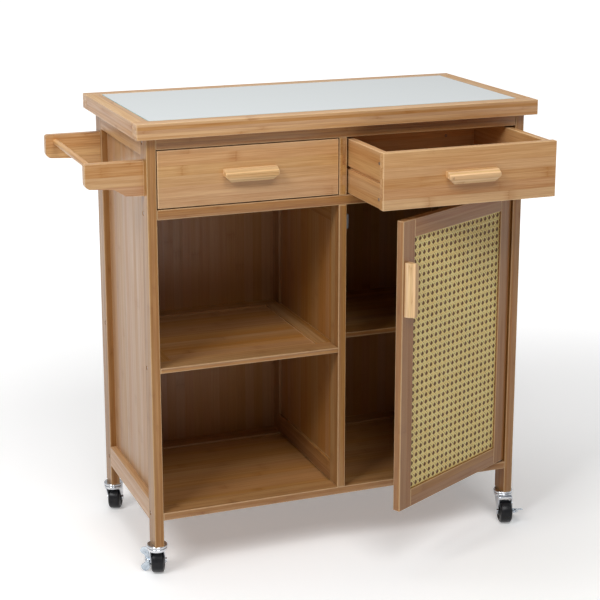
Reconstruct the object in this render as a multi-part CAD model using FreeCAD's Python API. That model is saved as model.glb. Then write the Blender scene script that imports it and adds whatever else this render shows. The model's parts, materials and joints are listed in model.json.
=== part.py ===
import FreeCAD, Part
import math
import os

# Rolling kitchen cart in laminated bamboo: a frame on four swivel casters, two drawers,
# an open shelf bay on the left, a cane-fronted door on the right and a towel handle on
# the left side.  +X is to the right, +Y to the rear, +Z up; the origin is on the floor,
# at the centre of the four casters.  All lengths are in millimetres, angles in degrees.

Vector = FreeCAD.Vector
UP = Vector(0, 0, 1)
ORIGIN = Vector(0, 0, 0)
AXLE_WAY = Vector(0, 1, 0)             # a caster is drawn trailing towards +X, then turned

# ---- driving dimensions -------------------------------------------------------------
TOP_WIDTH = 850.0          # worktop, left to right
TOP_DEPTH = 424.0          # worktop, front to rear
TOP_THICKNESS = 31.0
TOP_HEIGHT = 934.0         # worktop surface above the floor
TOP_BORDER = 32.0          # width of the bamboo border round the glass
GLASS_THICKNESS = 6.0
GLASS_GAP = 0.6            # joint between the glass and its border

BODY_HALF_WIDTH = 403.0    # outer faces of the legs
BODY_HALF_DEPTH = 195.0
LEG_WIDTH = 19.0
LEG_DEPTH = 42.0
EASE = 1.2                 # rounding of the board edges
GLASS_EASE = 0.8

CASTER_HEIGHT = 70.0       # floor to the underside of the legs
WHEEL_RADIUS = 25.0
WHEEL_WIDTH = 26.0
TRAIL = 19.0               # swivel axis to wheel axle
CROWN_RADIUS = 21.0
AXLE_RADIUS = 3.0
KINGPIN_RADIUS = 4.0
STEM_LENGTH = 30.0         # length of the caster stem inside the leg
RUNNING_FIT = 0.05         # radial clearance of everything that turns on a pin

SIDE_PANEL_THICKNESS = 5.0
BACK_PANEL_THICKNESS = 5.0
SIDE_BOTTOM_RAIL = (116.0, 160.0)      # heights of the rails between the legs
SIDE_TOP_RAIL_BOTTOM = 865.0

SHELF_BOTTOM = (126.0, 141.7)          # underside and top of the bottom shelf
SHELF_MIDDLE = (435.5, 446.0)
MIDDLE_RAIL = (743.5, 763.5)
TOP_RAIL_BOTTOM = 880.0
SHELF_BORDER = 35.0                    # end boards of the shelf frame
SHELF_BOARD_DEPTH = 45.0               # front and rear boards of the shelves
SHELF_PANEL = (437.5, 442.0)           # underside and top of the middle shelf's panel
BOTTOM_PANEL = (130.0, 138.7)
RIGHT_SHELF_FRONT = -106.0             # the right shelf stops short of the door

DIVIDER_THICKNESS = 16.0
PARTITION_THICKNESS = 16.6
PARTITION_PANEL = 5.0

DRAWER_FRONT_THICKNESS = 16.0
DRAWER_DEPTH = 330.0
DRAWER_SIDE = 15.0
DRAWER_BACK = 12.0
DRAWER_BOTTOM = 4.0
DRAWER_FRONT_BOTTOM = 766.0
DRAWER_FRONT_TOP = 878.0
DRAWER_FRONT_GAP = 2.0                 # drawer front to the frame at each side
DRAWER_SIDE_DROP = 2.0                 # drawer sides end this far below the front's top
DRAWER_BOTTOM_RISE = 6.0               # drawer bottom above the sides' undersides
DRAWER_BOTTOM_TONGUE = 5.0             # how far the bottom sits in its grooves
DRAWER_SIDE_GAP = 4.0                  # case to drawer side, bridged by the runner
RUNNER_HEIGHT = 6.2
RUNNER_REACH = 9.0
RUNNER_SETBACK = 7.0                   # runner behind the closed drawer front
GROOVE = (814.5, 821.5)                # heights of the groove in the drawer sides
GROOVE_DEPTH = 6.0
RIGHT_DRAWER_PULL = 172.0              # the right drawer stands open this far

DOOR_WIDTH = 371.0
DOOR_THICKNESS = 16.0
DOOR_BOTTOM = 145.0
DOOR_TOP = 741.5
DOOR_HINGE_EDGE = 380.3                # x of the hinge-side edge with the door closed
DOOR_STILE = 37.0
DOOR_ANGLE = 28.0                      # the door stands open this far
PIVOT_INSET = 8.5                      # hinge-side edge to the pivot axis
PIVOT_RADIUS = 2.5
PIVOT_DEPTH = 14.0                     # pin length inside the door
PIVOT_ANCHOR = 10.0                    # pin length inside the frame
BUSH_RADIUS = 4.0
FLANGE_RADIUS = 6.0
FLANGE_THICKNESS = 1.5
CANE_THICKNESS = 2.5
CANE_RECESS = 3.5                      # cane behind the front face of the door
BACKING_THICKNESS = 4.0
STILE_EASE = 2.0
CATCH_GAP = 2.0                        # closed door to the magnet catch
CATCH_WIDTH = 12.0
CATCH_DEPTH = 30.0
CATCH_HEIGHTS = (689.0, 719.0)

PULL_LENGTH = 109.0                    # long edge of a wooden pull
PULL_SHORT = 86.0
PULL_HEIGHT = 25.0
PULL_BOTTOM = 810.0                    # underside of the drawer pulls
DOOR_PULL_CENTRE = 604.5
PULL_EASE = 0.8
# Section of a pull: distance in front of its board and height above its underside.
PULL_SECTION = (
    (0.0, 25.0), (11.0, 23.5), (20.0, 17.5), (20.0, 9.5),
    (15.0, 0.0), (10.0, 3.0), (7.0, 9.0), (0.0, 11.0),
)
PULL_PROUD = 20.0
PULL_END_HEIGHT = 13.5     # upright part of a pull's ends, above the slope

ARM_THICKNESS = 16.0
ARM_INNER = 160.5                      # |y| of the arms' inner faces
ARM_END = -518.5
ARM_TOP = 858.0
ROD_RADIUS = 6.0
ROD_X = -497.0
ROD_Z = 843.0
ROD_SOCKET = 8.0
ARM_END_BOTTOM = 810.0
# Underside of an arm, from its end to the leg: x and z.
ARM_UNDERSIDE = ((-463.0, 806.5), (-439.0, 791.6), (-403.0, 789.5))
ARM_TOP_ROUND = 6.0
ARM_LOW_ROUND = 12.0

BOLT_RADIUS = 2.5
BOLT_LENGTH = 45.0
BOLT_HEAD_RADIUS = 4.5
BOLT_HEAD = 2.5
BOLT_RECESS = 3.5
BOLT_INSET = 11.0                      # bolt axis from the inner edge of the leg

# Caster headings: the angle from +X to the side where each wheel trails.
CASTERS = {
    "front_left": {"side": -1, "end": -1, "heading": 70.0, "wing_turn": 0.0},
    "front_right": {"side": 1, "end": -1, "heading": -104.0, "wing_turn": -60.0},
    "rear_left": {"side": -1, "end": 1, "heading": 64.0, "wing_turn": None},
    "rear_right": {"side": 1, "end": 1, "heading": 60.0, "wing_turn": None},
}

RACE_THICKNESS = 5.5       # fixed race under the leg
RACE_EASE = 2.0
RACE_GAP = 0.4             # race to crown
CROWN_BOTTOM = 57.0
CROWN_INSET = 0.6          # crown radius less than the race's
CROWN_EASE = 2.2
KINGPIN_HEAD_RADIUS = 7.0
KINGPIN_HEAD = 3.2
KINGPIN_DROP = 3.5         # kingpin head below the crown
ROOF_START = -13.0         # fork roof in front of the swivel axis
ROOF_THICKNESS = 2.5
PLATE_GAP = 0.7            # wheel to fork plate
PLATE_THICKNESS = 2.0
PLATE_END_RADIUS = 6.5
WHEEL_ROUND = 5.0          # rounding of the tread's shoulders
AXLE_HEAD_RADIUS = 5.0
AXLE_HEAD = 2.0
WING_THICKNESS = 2.4
WING_GAP = 0.5             # fork plate to hub, and hub to axle head
WING_HUB = 8.4
WING_HUB_RADIUS = 5.5
# A wing seen along the trail: distance from the wheel's middle and height above the axle.
WING_UPPER_LOBE = (26.5, 20.5)
WING_LOWER_LOBE = (25.0, -12.8)
WING_LOBE_RADIUS = 9.3
WING_NECK = (
    (17.2, -3.0), (17.2, 4.0), (20.5, 14.5), (31.5, 13.5),
    (24.6, 5.0), (24.6, -5.0), (31.0, -7.0), (19.5, -7.0),
)
WING_NOTCH = (26.0, -24.0)
WING_NOTCH_RADIUS = 3.0

# ---- derived positions --------------------------------------------------------------
TOP_UNDERSIDE = TOP_HEIGHT - TOP_THICKNESS
LEG_INNER_X = BODY_HALF_WIDTH - LEG_WIDTH
LEG_INNER_Y = BODY_HALF_DEPTH - LEG_DEPTH
LEG_CENTRE_X = BODY_HALF_WIDTH - LEG_WIDTH / 2
LEG_CENTRE_Y = BODY_HALF_DEPTH - LEG_DEPTH / 2
BACK_FACE = BODY_HALF_DEPTH - BACK_PANEL_THICKNESS
RAIL_FRONT = -BODY_HALF_DEPTH + 1
RAIL_REAR = -LEG_INNER_Y
HALF_PARTITION = PARTITION_THICKNESS / 2
HALF_PANEL = PARTITION_PANEL / 2
HALF_DIVIDER = DIVIDER_THICKNESS / 2
SHELF_INNER_Y = BODY_HALF_DEPTH - SHELF_BOARD_DEPTH
PIVOT = Vector(DOOR_HINGE_EDGE - PIVOT_INSET, -BODY_HALF_DEPTH + DOOR_THICKNESS / 2, 0)
BOLT_Y = LEG_INNER_Y + BOLT_INSET
BOLT_LEVELS = (134.0, 440.7, 753.0, 891.5)
RACE_BOTTOM = CASTER_HEIGHT - RACE_THICKNESS
CROWN_TOP = RACE_BOTTOM - RACE_GAP
PLATE_INNER = WHEEL_WIDTH / 2 + PLATE_GAP
PLATE_OUTER = PLATE_INNER + PLATE_THICKNESS
WING_HUB_END = PLATE_OUTER + WING_GAP + WING_HUB

nodes = {}


def box(x, y, z):
    """Plain box between the two values of each of x, y and z."""
    return Part.makeBox(x[1] - x[0], y[1] - y[0], z[1] - z[0], Vector(x[0], y[0], z[0]))


def board(x, y, z, ease=EASE):
    """Board between the two values of each of x, y and z, with every edge rounded."""
    solid = box(x, y, z)
    return solid.makeFillet(ease, solid.Edges)


def mirrored(span, side):
    """A (low, high) span on the right, moved to the given side (-1 left, 1 right)."""
    return span if side > 0 else (-span[1], -span[0])


def rod_along(axis, start, radius, length):
    """Cylinder of the given radius from start, along axis."""
    return Part.makeCylinder(radius, length, start, axis)


def slab(points, travel):
    """Solid swept by a flat outline, given by its corners, along travel."""
    return Part.Face(Part.makePolygon(points + points[:1])).extrude(travel)


def add(name, *solids):
    """Record the solids that make up one node."""
    nodes[name] = list(solids)


# ---- worktop ------------------------------------------------------------------------
def worktop():
    half_w = TOP_WIDTH / 2
    half_d = TOP_DEPTH / 2
    inner_w = half_w - TOP_BORDER
    inner_d = half_d - TOP_BORDER
    heights = (TOP_UNDERSIDE, TOP_HEIGHT)
    strips = [board((-half_w, half_w), mirrored((inner_d, half_d), end), heights) for end in (-1, 1)]
    strips += [board(mirrored((inner_w, half_w), side), (-inner_d, inner_d), heights) for side in (-1, 1)]
    add("worktop_frame", *strips)
    glass_bottom = TOP_HEIGHT - GLASS_THICKNESS
    add("worktop_base", box((-inner_w, inner_w), (-inner_d, inner_d), (TOP_UNDERSIDE, glass_bottom)))
    glass_w = inner_w - GLASS_GAP
    glass_d = inner_d - GLASS_GAP
    glass_heights = (glass_bottom, TOP_HEIGHT)
    add("worktop_glass", board((-glass_w, glass_w), (-glass_d, glass_d), glass_heights, GLASS_EASE))


# ---- bolts through the legs ---------------------------------------------------------
def bolt_places():
    """Every bolt's axis: side (-1 or 1), y, z."""
    places = []
    for side in (-1, 1):
        for end in (-1, 1):
            for level in BOLT_LEVELS:
                shelf_level = SHELF_MIDDLE[0] < level < SHELF_MIDDLE[1]
                if shelf_level and side > 0 and end < 0:
                    continue
                places.append((side, end * BOLT_Y, level))
    return places


def bolt(side, y, z):
    """Bolt with its head sunk into the outer face of a leg."""
    head_x = side * (BODY_HALF_WIDTH - BOLT_RECESS + BOLT_HEAD)
    inward = Vector(-side, 0, 0)
    head = rod_along(inward, Vector(head_x, y, z), BOLT_HEAD_RADIUS, BOLT_HEAD)
    shank = rod_along(inward, Vector(head_x, y, z), BOLT_RADIUS, BOLT_LENGTH)
    return head.fuse(shank).removeSplitter()


def drilled(solid):
    """The solid with the holes for the bolts that pass through it."""
    bounds = solid.BoundBox
    for side, y, z in bolt_places():
        if not (bounds.YMin < y < bounds.YMax and bounds.ZMin < z < bounds.ZMax):
            continue
        outer = Vector(side * BODY_HALF_WIDTH, y, z)
        inward = Vector(-side, 0, 0)
        solid = solid.cut(rod_along(inward, outer, BOLT_HEAD_RADIUS, BOLT_RECESS))
        solid = solid.cut(rod_along(inward, outer, BOLT_RADIUS, BOLT_LENGTH + BOLT_RECESS))
    return solid


# ---- frame --------------------------------------------------------------------------
def legs():
    for name, place in CASTERS.items():
        x = mirrored((LEG_INNER_X, BODY_HALF_WIDTH), place["side"])
        y = mirrored((LEG_INNER_Y, BODY_HALF_DEPTH), place["end"])
        leg = drilled(board(x, y, (CASTER_HEIGHT, TOP_UNDERSIDE)))
        centre = Vector(place["side"] * LEG_CENTRE_X, place["end"] * LEG_CENTRE_Y, CASTER_HEIGHT)
        add("leg_" + name, leg.cut(rod_along(UP, centre, KINGPIN_RADIUS, STEM_LENGTH)))


def sides():
    depth = (-LEG_INNER_Y, LEG_INNER_Y)
    for name, side in (("left", -1), ("right", 1)):
        x = mirrored((LEG_INNER_X, BODY_HALF_WIDTH), side)
        lower = board(x, depth, SIDE_BOTTOM_RAIL)
        upper = board(x, depth, (SIDE_TOP_RAIL_BOTTOM, TOP_UNDERSIDE))
        add("side_rails_" + name, lower, upper)
        panel_x = mirrored((LEG_INNER_X, LEG_INNER_X + SIDE_PANEL_THICKNESS), side)
        add("side_panel_" + name, box(panel_x, depth, (SIDE_BOTTOM_RAIL[1], SIDE_TOP_RAIL_BOTTOM)))


def cross_rails():
    width = (-LEG_INNER_X, LEG_INNER_X)
    front = (RAIL_FRONT, RAIL_REAR)
    rear = (LEG_INNER_Y, BACK_FACE)
    top = (TOP_RAIL_BOTTOM, TOP_UNDERSIDE)
    pin_hole = rod_along(UP, Vector(PIVOT.x, PIVOT.y, 0), PIVOT_RADIUS, MIDDLE_RAIL[0] + PIVOT_ANCHOR)
    add("front_rail_top", drilled(board(width, front, top)))
    add("front_rail_middle", drilled(board(width, front, MIDDLE_RAIL)).cut(pin_hole))
    add("rear_rails", drilled(board(width, rear, top)), drilled(board(width, rear, MIDDLE_RAIL)))
    add("back_panel", box(width, (BACK_FACE, BODY_HALF_DEPTH), (SHELF_BOTTOM[0], TOP_UNDERSIDE)))
    divider_depth = (-BODY_HALF_DEPTH, BACK_FACE)
    divider_heights = (MIDDLE_RAIL[1], TOP_RAIL_BOTTOM)
    add("drawer_divider", board((-HALF_DIVIDER, HALF_DIVIDER), divider_depth, divider_heights))


def runners():
    middle = (GROOVE[0] + GROOVE[1]) / 2
    heights = (middle - RUNNER_HEIGHT / 2, middle + RUNNER_HEIGHT / 2)
    depth = (-BODY_HALF_DEPTH + DRAWER_FRONT_THICKNESS + RUNNER_SETBACK, LEG_INNER_Y)
    strips = []
    for side in (-1, 1):
        case = mirrored((LEG_INNER_X - RUNNER_REACH, LEG_INNER_X), side)
        middle_board = mirrored((HALF_DIVIDER, HALF_DIVIDER + RUNNER_REACH), side)
        strips.append(box(case, depth, heights))
        strips.append(box(middle_board, depth, heights))
    add("drawer_runners", *strips)


def partition():
    width = (-HALF_PARTITION, HALF_PARTITION)
    heights = (SHELF_BOTTOM[1], MIDDLE_RAIL[0])
    front_post = board(width, (-BODY_HALF_DEPTH, -LEG_INNER_Y), heights)
    rear_post = board(width, (LEG_INNER_Y, BACK_FACE), heights)
    depth = (-LEG_INNER_Y, LEG_INNER_Y)
    lower = board(width, depth, (heights[0], heights[0] + LEG_DEPTH))
    upper = board(width, depth, (heights[1] - LEG_DEPTH, heights[1]))
    add("partition_frame", front_post, rear_post, lower, upper)
    panel_heights = (heights[0] + LEG_DEPTH, heights[1] - LEG_DEPTH)
    add("partition_panel", box((-HALF_PANEL, HALF_PANEL), depth, panel_heights))


def shelves():
    inner = (-LEG_INNER_X + SHELF_BORDER, -HALF_PANEL - SHELF_BORDER)
    across = (-LEG_INNER_X, -HALF_PARTITION)
    front = board(across, (-BODY_HALF_DEPTH, -SHELF_INNER_Y), SHELF_MIDDLE)
    rear = board(across, (LEG_INNER_Y, BACK_FACE), SHELF_MIDDLE)
    end_depth = (-SHELF_INNER_Y, LEG_INNER_Y)
    left = board((-LEG_INNER_X, inner[0]), end_depth, SHELF_MIDDLE)
    right = board((inner[1], -HALF_PANEL), end_depth, SHELF_MIDDLE)
    add("shelf_left_frame", drilled(front), drilled(rear), left, right)
    add("shelf_left_panel", box(inner, end_depth, SHELF_PANEL))

    wide = box((HALF_PANEL, LEG_INNER_X), (RIGHT_SHELF_FRONT, LEG_INNER_Y), SHELF_MIDDLE)
    tail = box((HALF_PARTITION, LEG_INNER_X), (LEG_INNER_Y, BACK_FACE), SHELF_MIDDLE)
    add("shelf_right", drilled(wide.fuse(tail).removeSplitter()))

    width = (-LEG_INNER_X, LEG_INNER_X)
    front_board = drilled(board(width, (-BODY_HALF_DEPTH, -LEG_INNER_Y), SHELF_BOTTOM))
    hole_start = Vector(PIVOT.x, PIVOT.y, SHELF_BOTTOM[1] - PIVOT_ANCHOR)
    pin_hole = rod_along(UP, hole_start, PIVOT_RADIUS, PIVOT_ANCHOR)
    rear_board = drilled(board(width, (SHELF_INNER_Y, BACK_FACE), SHELF_BOTTOM))
    add("bottom_frame", front_board.cut(pin_hole), rear_board)
    add("bottom_panel", box(width, (-LEG_INNER_Y, SHELF_INNER_Y), BOTTOM_PANEL))


# ---- wooden pulls -------------------------------------------------------------------
def pull():
    """Pull along X: its long edge up, its back on the plane y = 0, proud towards -Y."""
    half_long = PULL_LENGTH / 2
    half_short = PULL_SHORT / 2
    slope_top = PULL_HEIGHT - PULL_END_HEIGHT
    bar = slab([Vector(-half_long, -y, z) for y, z in PULL_SECTION], Vector(PULL_LENGTH, 0, 0))
    front_view = [
        (-half_long, PULL_HEIGHT), (half_long, PULL_HEIGHT), (half_long, slope_top),
        (half_short, 0), (-half_short, 0), (-half_long, slope_top),
    ]
    ends = slab([Vector(x, -PULL_PROUD, z) for x, z in front_view], Vector(0, PULL_PROUD, 0))
    solid = bar.common(ends).Solids[0]
    outer = [edge for edge in solid.Edges if edge.BoundBox.YMax < -1]
    return solid.makeFillet(PULL_EASE, outer)


# ---- drawers ------------------------------------------------------------------------
def drawer(name, side, pulled):
    x = mirrored((HALF_DIVIDER + DRAWER_FRONT_GAP, LEG_INNER_X - DRAWER_FRONT_GAP), side)
    outer = mirrored((HALF_DIVIDER + DRAWER_SIDE_GAP, LEG_INNER_X - DRAWER_SIDE_GAP), side)
    inner = (outer[0] + DRAWER_SIDE, outer[1] - DRAWER_SIDE)
    front_face = -BODY_HALF_DEPTH
    depth = (front_face + DRAWER_FRONT_THICKNESS, front_face + DRAWER_DEPTH)
    heights = (DRAWER_FRONT_BOTTOM, DRAWER_FRONT_TOP - DRAWER_SIDE_DROP)
    bottom_low = DRAWER_FRONT_BOTTOM + DRAWER_BOTTOM_RISE
    bottom_z = (bottom_low, bottom_low + DRAWER_BOTTOM)
    bottom_x = (inner[0] - DRAWER_BOTTOM_TONGUE, inner[1] + DRAWER_BOTTOM_TONGUE)
    bottom = box(bottom_x, (depth[0] - DRAWER_BOTTOM_TONGUE, depth[1]), bottom_z)

    front = board(x, (front_face, depth[0]), (DRAWER_FRONT_BOTTOM, DRAWER_FRONT_TOP)).cut(bottom)
    sides = []
    for span, groove in (
        ((outer[0], inner[0]), (outer[0], outer[0] + GROOVE_DEPTH)),
        ((inner[1], outer[1]), (outer[1] - GROOVE_DEPTH, outer[1])),
    ):
        side_board = board(span, depth, heights).cut(bottom)
        sides.append(side_board.cut(box(groove, depth, GROOVE)))
    back = board(inner, (depth[1] - DRAWER_BACK, depth[1]), (bottom_z[1], heights[1]))
    handle = pull()
    handle.translate(Vector((x[0] + x[1]) / 2, front_face, PULL_BOTTOM))

    pieces = {
        "front": front, "side_left": sides[0], "side_right": sides[1],
        "back": back, "bottom": bottom, "handle": handle,
    }
    for part_name, solid in pieces.items():
        solid.translate(Vector(0, -pulled, 0))
        add("drawer_" + name + "_" + part_name, solid)


# ---- door ---------------------------------------------------------------------------
def door():
    front = -BODY_HALF_DEPTH
    back = front + DOOR_THICKNESS
    free_edge = DOOR_HINGE_EDGE - DOOR_WIDTH
    hinge_inner = DOOR_HINGE_EDGE - DOOR_STILE
    latch_inner = free_edge + DOOR_STILE
    depth = (front, back)
    heights = (DOOR_BOTTOM, DOOR_TOP)
    bush_depth = PIVOT_DEPTH + 2
    sockets = [
        rod_along(UP, Vector(PIVOT.x, PIVOT.y, DOOR_BOTTOM), BUSH_RADIUS, bush_depth),
        rod_along(UP, Vector(PIVOT.x, PIVOT.y, DOOR_TOP - bush_depth), BUSH_RADIUS, bush_depth),
    ]
    stile = board((hinge_inner, DOOR_HINGE_EDGE), depth, heights, STILE_EASE)
    for socket in sockets:
        stile = stile.cut(socket)
    panel_x = (latch_inner, hinge_inner)
    low_rail = board(panel_x, depth, (DOOR_BOTTOM, DOOR_BOTTOM + DOOR_STILE))
    high_rail = board(panel_x, depth, (DOOR_TOP - DOOR_STILE, DOOR_TOP))
    panel_z = (DOOR_BOTTOM + DOOR_STILE, DOOR_TOP - DOOR_STILE)
    cane_y = (front + CANE_RECESS, front + CANE_RECESS + CANE_THICKNESS)
    handle = pull()
    handle.translate(Vector(0, 0, -PULL_HEIGHT / 2))
    handle.rotate(ORIGIN, Vector(0, 1, 0), -90)
    handle.translate(Vector((free_edge + latch_inner) / 2, front, DOOR_PULL_CENTRE))
    flanges = [
        Part.makeCylinder(FLANGE_RADIUS, FLANGE_THICKNESS, Vector(PIVOT.x, PIVOT.y, z))
        for z in (DOOR_BOTTOM - FLANGE_THICKNESS, DOOR_TOP)
    ]
    bore = rod_along(UP, Vector(PIVOT.x, PIVOT.y, 0), PIVOT_RADIUS + RUNNING_FIT, TOP_HEIGHT)
    bushes = [socket.fuse(flange).removeSplitter().cut(bore) for socket, flange in zip(sockets, flanges)]

    pieces = {
        "door_stile_hinge": [stile],
        "door_stile_latch": [board((free_edge, latch_inner), depth, heights)],
        "door_rail_bottom": [low_rail],
        "door_rail_top": [high_rail],
        "door_cane": [box(panel_x, cane_y, panel_z)],
        "door_backing": [box(panel_x, (cane_y[1], cane_y[1] + BACKING_THICKNESS), panel_z)],
        "door_handle": [handle],
        "door_pivot_bushes": bushes,
    }
    for name, solids in pieces.items():
        for solid in solids:
            solid.rotate(PIVOT, UP, DOOR_ANGLE)
        add(name, *solids)

    pin_spans = (
        (SHELF_BOTTOM[1] - PIVOT_ANCHOR, DOOR_BOTTOM + PIVOT_DEPTH),
        (DOOR_TOP - PIVOT_DEPTH, MIDDLE_RAIL[0] + PIVOT_ANCHOR),
    )
    pins = [rod_along(UP, Vector(PIVOT.x, PIVOT.y, low), PIVOT_RADIUS, high - low) for low, high in pin_spans]
    add("door_pivot_pins", *pins)
    catch_x = (HALF_PARTITION, HALF_PARTITION + CATCH_WIDTH)
    catch_y = (back + CATCH_GAP, back + CATCH_GAP + CATCH_DEPTH)
    add("magnet_catch", board(catch_x, catch_y, CATCH_HEIGHTS))


# ---- towel handle on the left side --------------------------------------------------
def side_handle():
    outline = [(-BODY_HALF_WIDTH, ARM_TOP), (ARM_END, ARM_TOP), (ARM_END, ARM_END_BOTTOM), *ARM_UNDERSIDE]
    across = Vector(0, 1, 0)
    rod_start = Vector(ROD_X, -ARM_INNER - ROD_SOCKET, ROD_Z)
    rod = rod_along(across, rod_start, ROD_RADIUS, 2 * (ARM_INNER + ROD_SOCKET))
    arms = []
    for end in (-1, 1):
        y = mirrored((ARM_INNER, ARM_INNER + ARM_THICKNESS), end)
        arm = slab([Vector(x, y[0], z) for x, z in outline], Vector(0, ARM_THICKNESS, 0))
        for height, radius in ((ARM_TOP, ARM_TOP_ROUND), (ARM_END_BOTTOM, ARM_LOW_ROUND)):
            corner = Vector(ARM_END, (y[0] + y[1]) / 2, height)
            edges = [edge for edge in arm.Edges if edge.CenterOfMass.isEqual(corner, 0.01)]
            arm = arm.makeFillet(radius, edges)
        arms.append(arm.cut(rod))
    add("handle_arms", *arms)
    add("handle_rod", rod)


# ---- casters ------------------------------------------------------------------------
def placed(solid, name):
    """Turn a caster piece to its heading and move it under its leg."""
    place = CASTERS[name]
    solid.rotate(ORIGIN, UP, place["heading"])
    solid.translate(Vector(place["side"] * LEG_CENTRE_X, place["end"] * LEG_CENTRE_Y, 0))
    return solid


def caster_stem():
    """Fixed half of a caster: stem in the leg, race under it, kingpin and its head."""
    race = rod_along(UP, Vector(0, 0, RACE_BOTTOM), CROWN_RADIUS, RACE_THICKNESS)
    race = race.makeFillet(RACE_EASE, [e for e in race.Edges if e.Length > 100])
    pin_start = Vector(0, 0, CROWN_BOTTOM - KINGPIN_DROP)
    pin = rod_along(UP, pin_start, KINGPIN_RADIUS, CASTER_HEIGHT + STEM_LENGTH - pin_start.z)
    head = rod_along(UP, pin_start, KINGPIN_HEAD_RADIUS, KINGPIN_HEAD)
    return race.fuse([pin, head]).removeSplitter()


def caster_fork():
    """Crown and two tapered side plates, in one bent piece with holes for kingpin and axle."""
    crown_start = Vector(0, 0, CROWN_BOTTOM)
    crown = rod_along(UP, crown_start, CROWN_RADIUS - CROWN_INSET, CROWN_TOP - CROWN_BOTTOM)
    crown = crown.makeFillet(CROWN_EASE, [e for e in crown.Edges if e.Length > 100])
    roof_end = TRAIL + PLATE_END_RADIUS
    roof_top = CROWN_BOTTOM + ROOF_THICKNESS
    body = crown.fuse(box((ROOF_START, roof_end), (-PLATE_OUTER, PLATE_OUTER), (CROWN_BOTTOM, roof_top)))
    outline = [
        (ROOF_START, roof_top), (roof_end, roof_top), (roof_end, WHEEL_RADIUS),
        (TRAIL - PLATE_END_RADIUS, WHEEL_RADIUS),
    ]
    for start in (-PLATE_OUTER, PLATE_INNER):
        plate = slab([Vector(x, start, z) for x, z in outline], Vector(0, PLATE_THICKNESS, 0))
        centre = Vector(TRAIL, start, WHEEL_RADIUS)
        body = body.fuse([plate, rod_along(AXLE_WAY, centre, PLATE_END_RADIUS, PLATE_THICKNESS)])
    body = body.cut(rod_along(UP, ORIGIN, KINGPIN_RADIUS + RUNNING_FIT, CASTER_HEIGHT))
    hole_start = Vector(TRAIL, -PLATE_OUTER, WHEEL_RADIUS)
    return body.cut(rod_along(AXLE_WAY, hole_start, AXLE_RADIUS, 2 * PLATE_OUTER)).removeSplitter()


def caster_axle(has_wing):
    """Axle through both plates, riveted over at each end; longer where it carries a wing."""
    reach = WING_HUB_END + WING_GAP if has_wing else PLATE_OUTER
    shaft = rod_along(AXLE_WAY, Vector(TRAIL, -PLATE_OUTER, WHEEL_RADIUS), AXLE_RADIUS, PLATE_OUTER + reach)
    head_start = Vector(TRAIL, -PLATE_OUTER - AXLE_HEAD, WHEEL_RADIUS)
    head = rod_along(AXLE_WAY, head_start, AXLE_HEAD_RADIUS, AXLE_HEAD)
    tail = rod_along(AXLE_WAY, Vector(TRAIL, reach, WHEEL_RADIUS), AXLE_HEAD_RADIUS, AXLE_HEAD)
    return shaft.fuse([head, tail]).removeSplitter()


def caster_wheel():
    """Solid wheel with a well-rounded tread and a bore that runs on the axle."""
    start = Vector(TRAIL, -WHEEL_WIDTH / 2, WHEEL_RADIUS)
    wheel = rod_along(AXLE_WAY, start, WHEEL_RADIUS, WHEEL_WIDTH)
    wheel = wheel.makeFillet(WHEEL_ROUND, [e for e in wheel.Edges if e.Length > 100])
    return wheel.cut(rod_along(AXLE_WAY, start, AXLE_RADIUS + RUNNING_FIT, WHEEL_WIDTH))


def disc(centre, radius):
    """Round face in the plane x = TRAIL, at (distance from the wheel's middle, height above the axle)."""
    middle = Vector(TRAIL, centre[0], WHEEL_RADIUS + centre[1])
    return Part.Face(Part.Wire(Part.makeCircle(radius, middle, Vector(1, 0, 0))))


def brake_wing(turn):
    """Wing lever on the axle's long end: a hub and two flared lobes, clear of the axle's head."""
    points = [Vector(TRAIL, y, WHEEL_RADIUS + z) for y, z in WING_NECK]
    face = Part.Face(Part.makePolygon(points + points[:1]))
    for centre in (WING_UPPER_LOBE, WING_LOWER_LOBE):
        face = face.fuse(disc(centre, WING_LOBE_RADIUS))
    room = AXLE_HEAD_RADIUS + WING_GAP
    reach = WING_UPPER_LOBE[0] + WING_LOBE_RADIUS
    corners = [(WING_HUB_END, -room), (WING_HUB_END, room), (reach, room), (reach, -room)]
    points = [Vector(TRAIL, y, WHEEL_RADIUS + z) for y, z in corners]
    face = face.cut(Part.Face(Part.makePolygon(points + points[:1])))
    face = face.cut(disc(WING_NOTCH, WING_NOTCH_RADIUS)).removeSplitter()
    plate = face.extrude(Vector(WING_THICKNESS, 0, 0))
    plate.translate(Vector(-WING_THICKNESS / 2, 0, 0))
    hub_start = Vector(TRAIL, WING_HUB_END - WING_HUB, WHEEL_RADIUS)
    wing = plate.fuse(rod_along(AXLE_WAY, hub_start, WING_HUB_RADIUS, WING_HUB))
    wing = wing.cut(rod_along(AXLE_WAY, hub_start, AXLE_RADIUS + RUNNING_FIT, WING_HUB)).Solids[0]
    wing.rotate(Vector(TRAIL, 0, WHEEL_RADIUS), AXLE_WAY, -turn)
    return wing


def casters():
    stems = []
    for name, place in CASTERS.items():
        stems.append(placed(caster_stem(), name))
        has_wing = place["wing_turn"] is not None
        add("caster_" + name + "_fork", placed(caster_fork(), name), placed(caster_axle(has_wing), name))
        add("caster_" + name + "_wheel", placed(caster_wheel(), name))
        if has_wing:
            add("brake_wing_" + name, placed(brake_wing(place["wing_turn"]), name))
    add("caster_stems", *stems)


def build():
    worktop()
    legs()
    sides()
    cross_rails()
    runners()
    partition()
    shelves()
    add("frame_bolts", *[bolt(*place) for place in bolt_places()])
    drawer("left", -1, 0.0)
    drawer("right", 1, RIGHT_DRAWER_PULL)
    door()
    side_handle()
    casters()


def export():
    os.makedirs("parts", exist_ok=True)
    for name, solids in nodes.items():
        shape = solids[0] if len(solids) == 1 else Part.makeCompound(solids)
        shape.exportStep("parts/" + name + ".step")


build()
export()
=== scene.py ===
"""Rolling kitchen cart: bamboo finishes, woven cane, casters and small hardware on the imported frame."""

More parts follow.
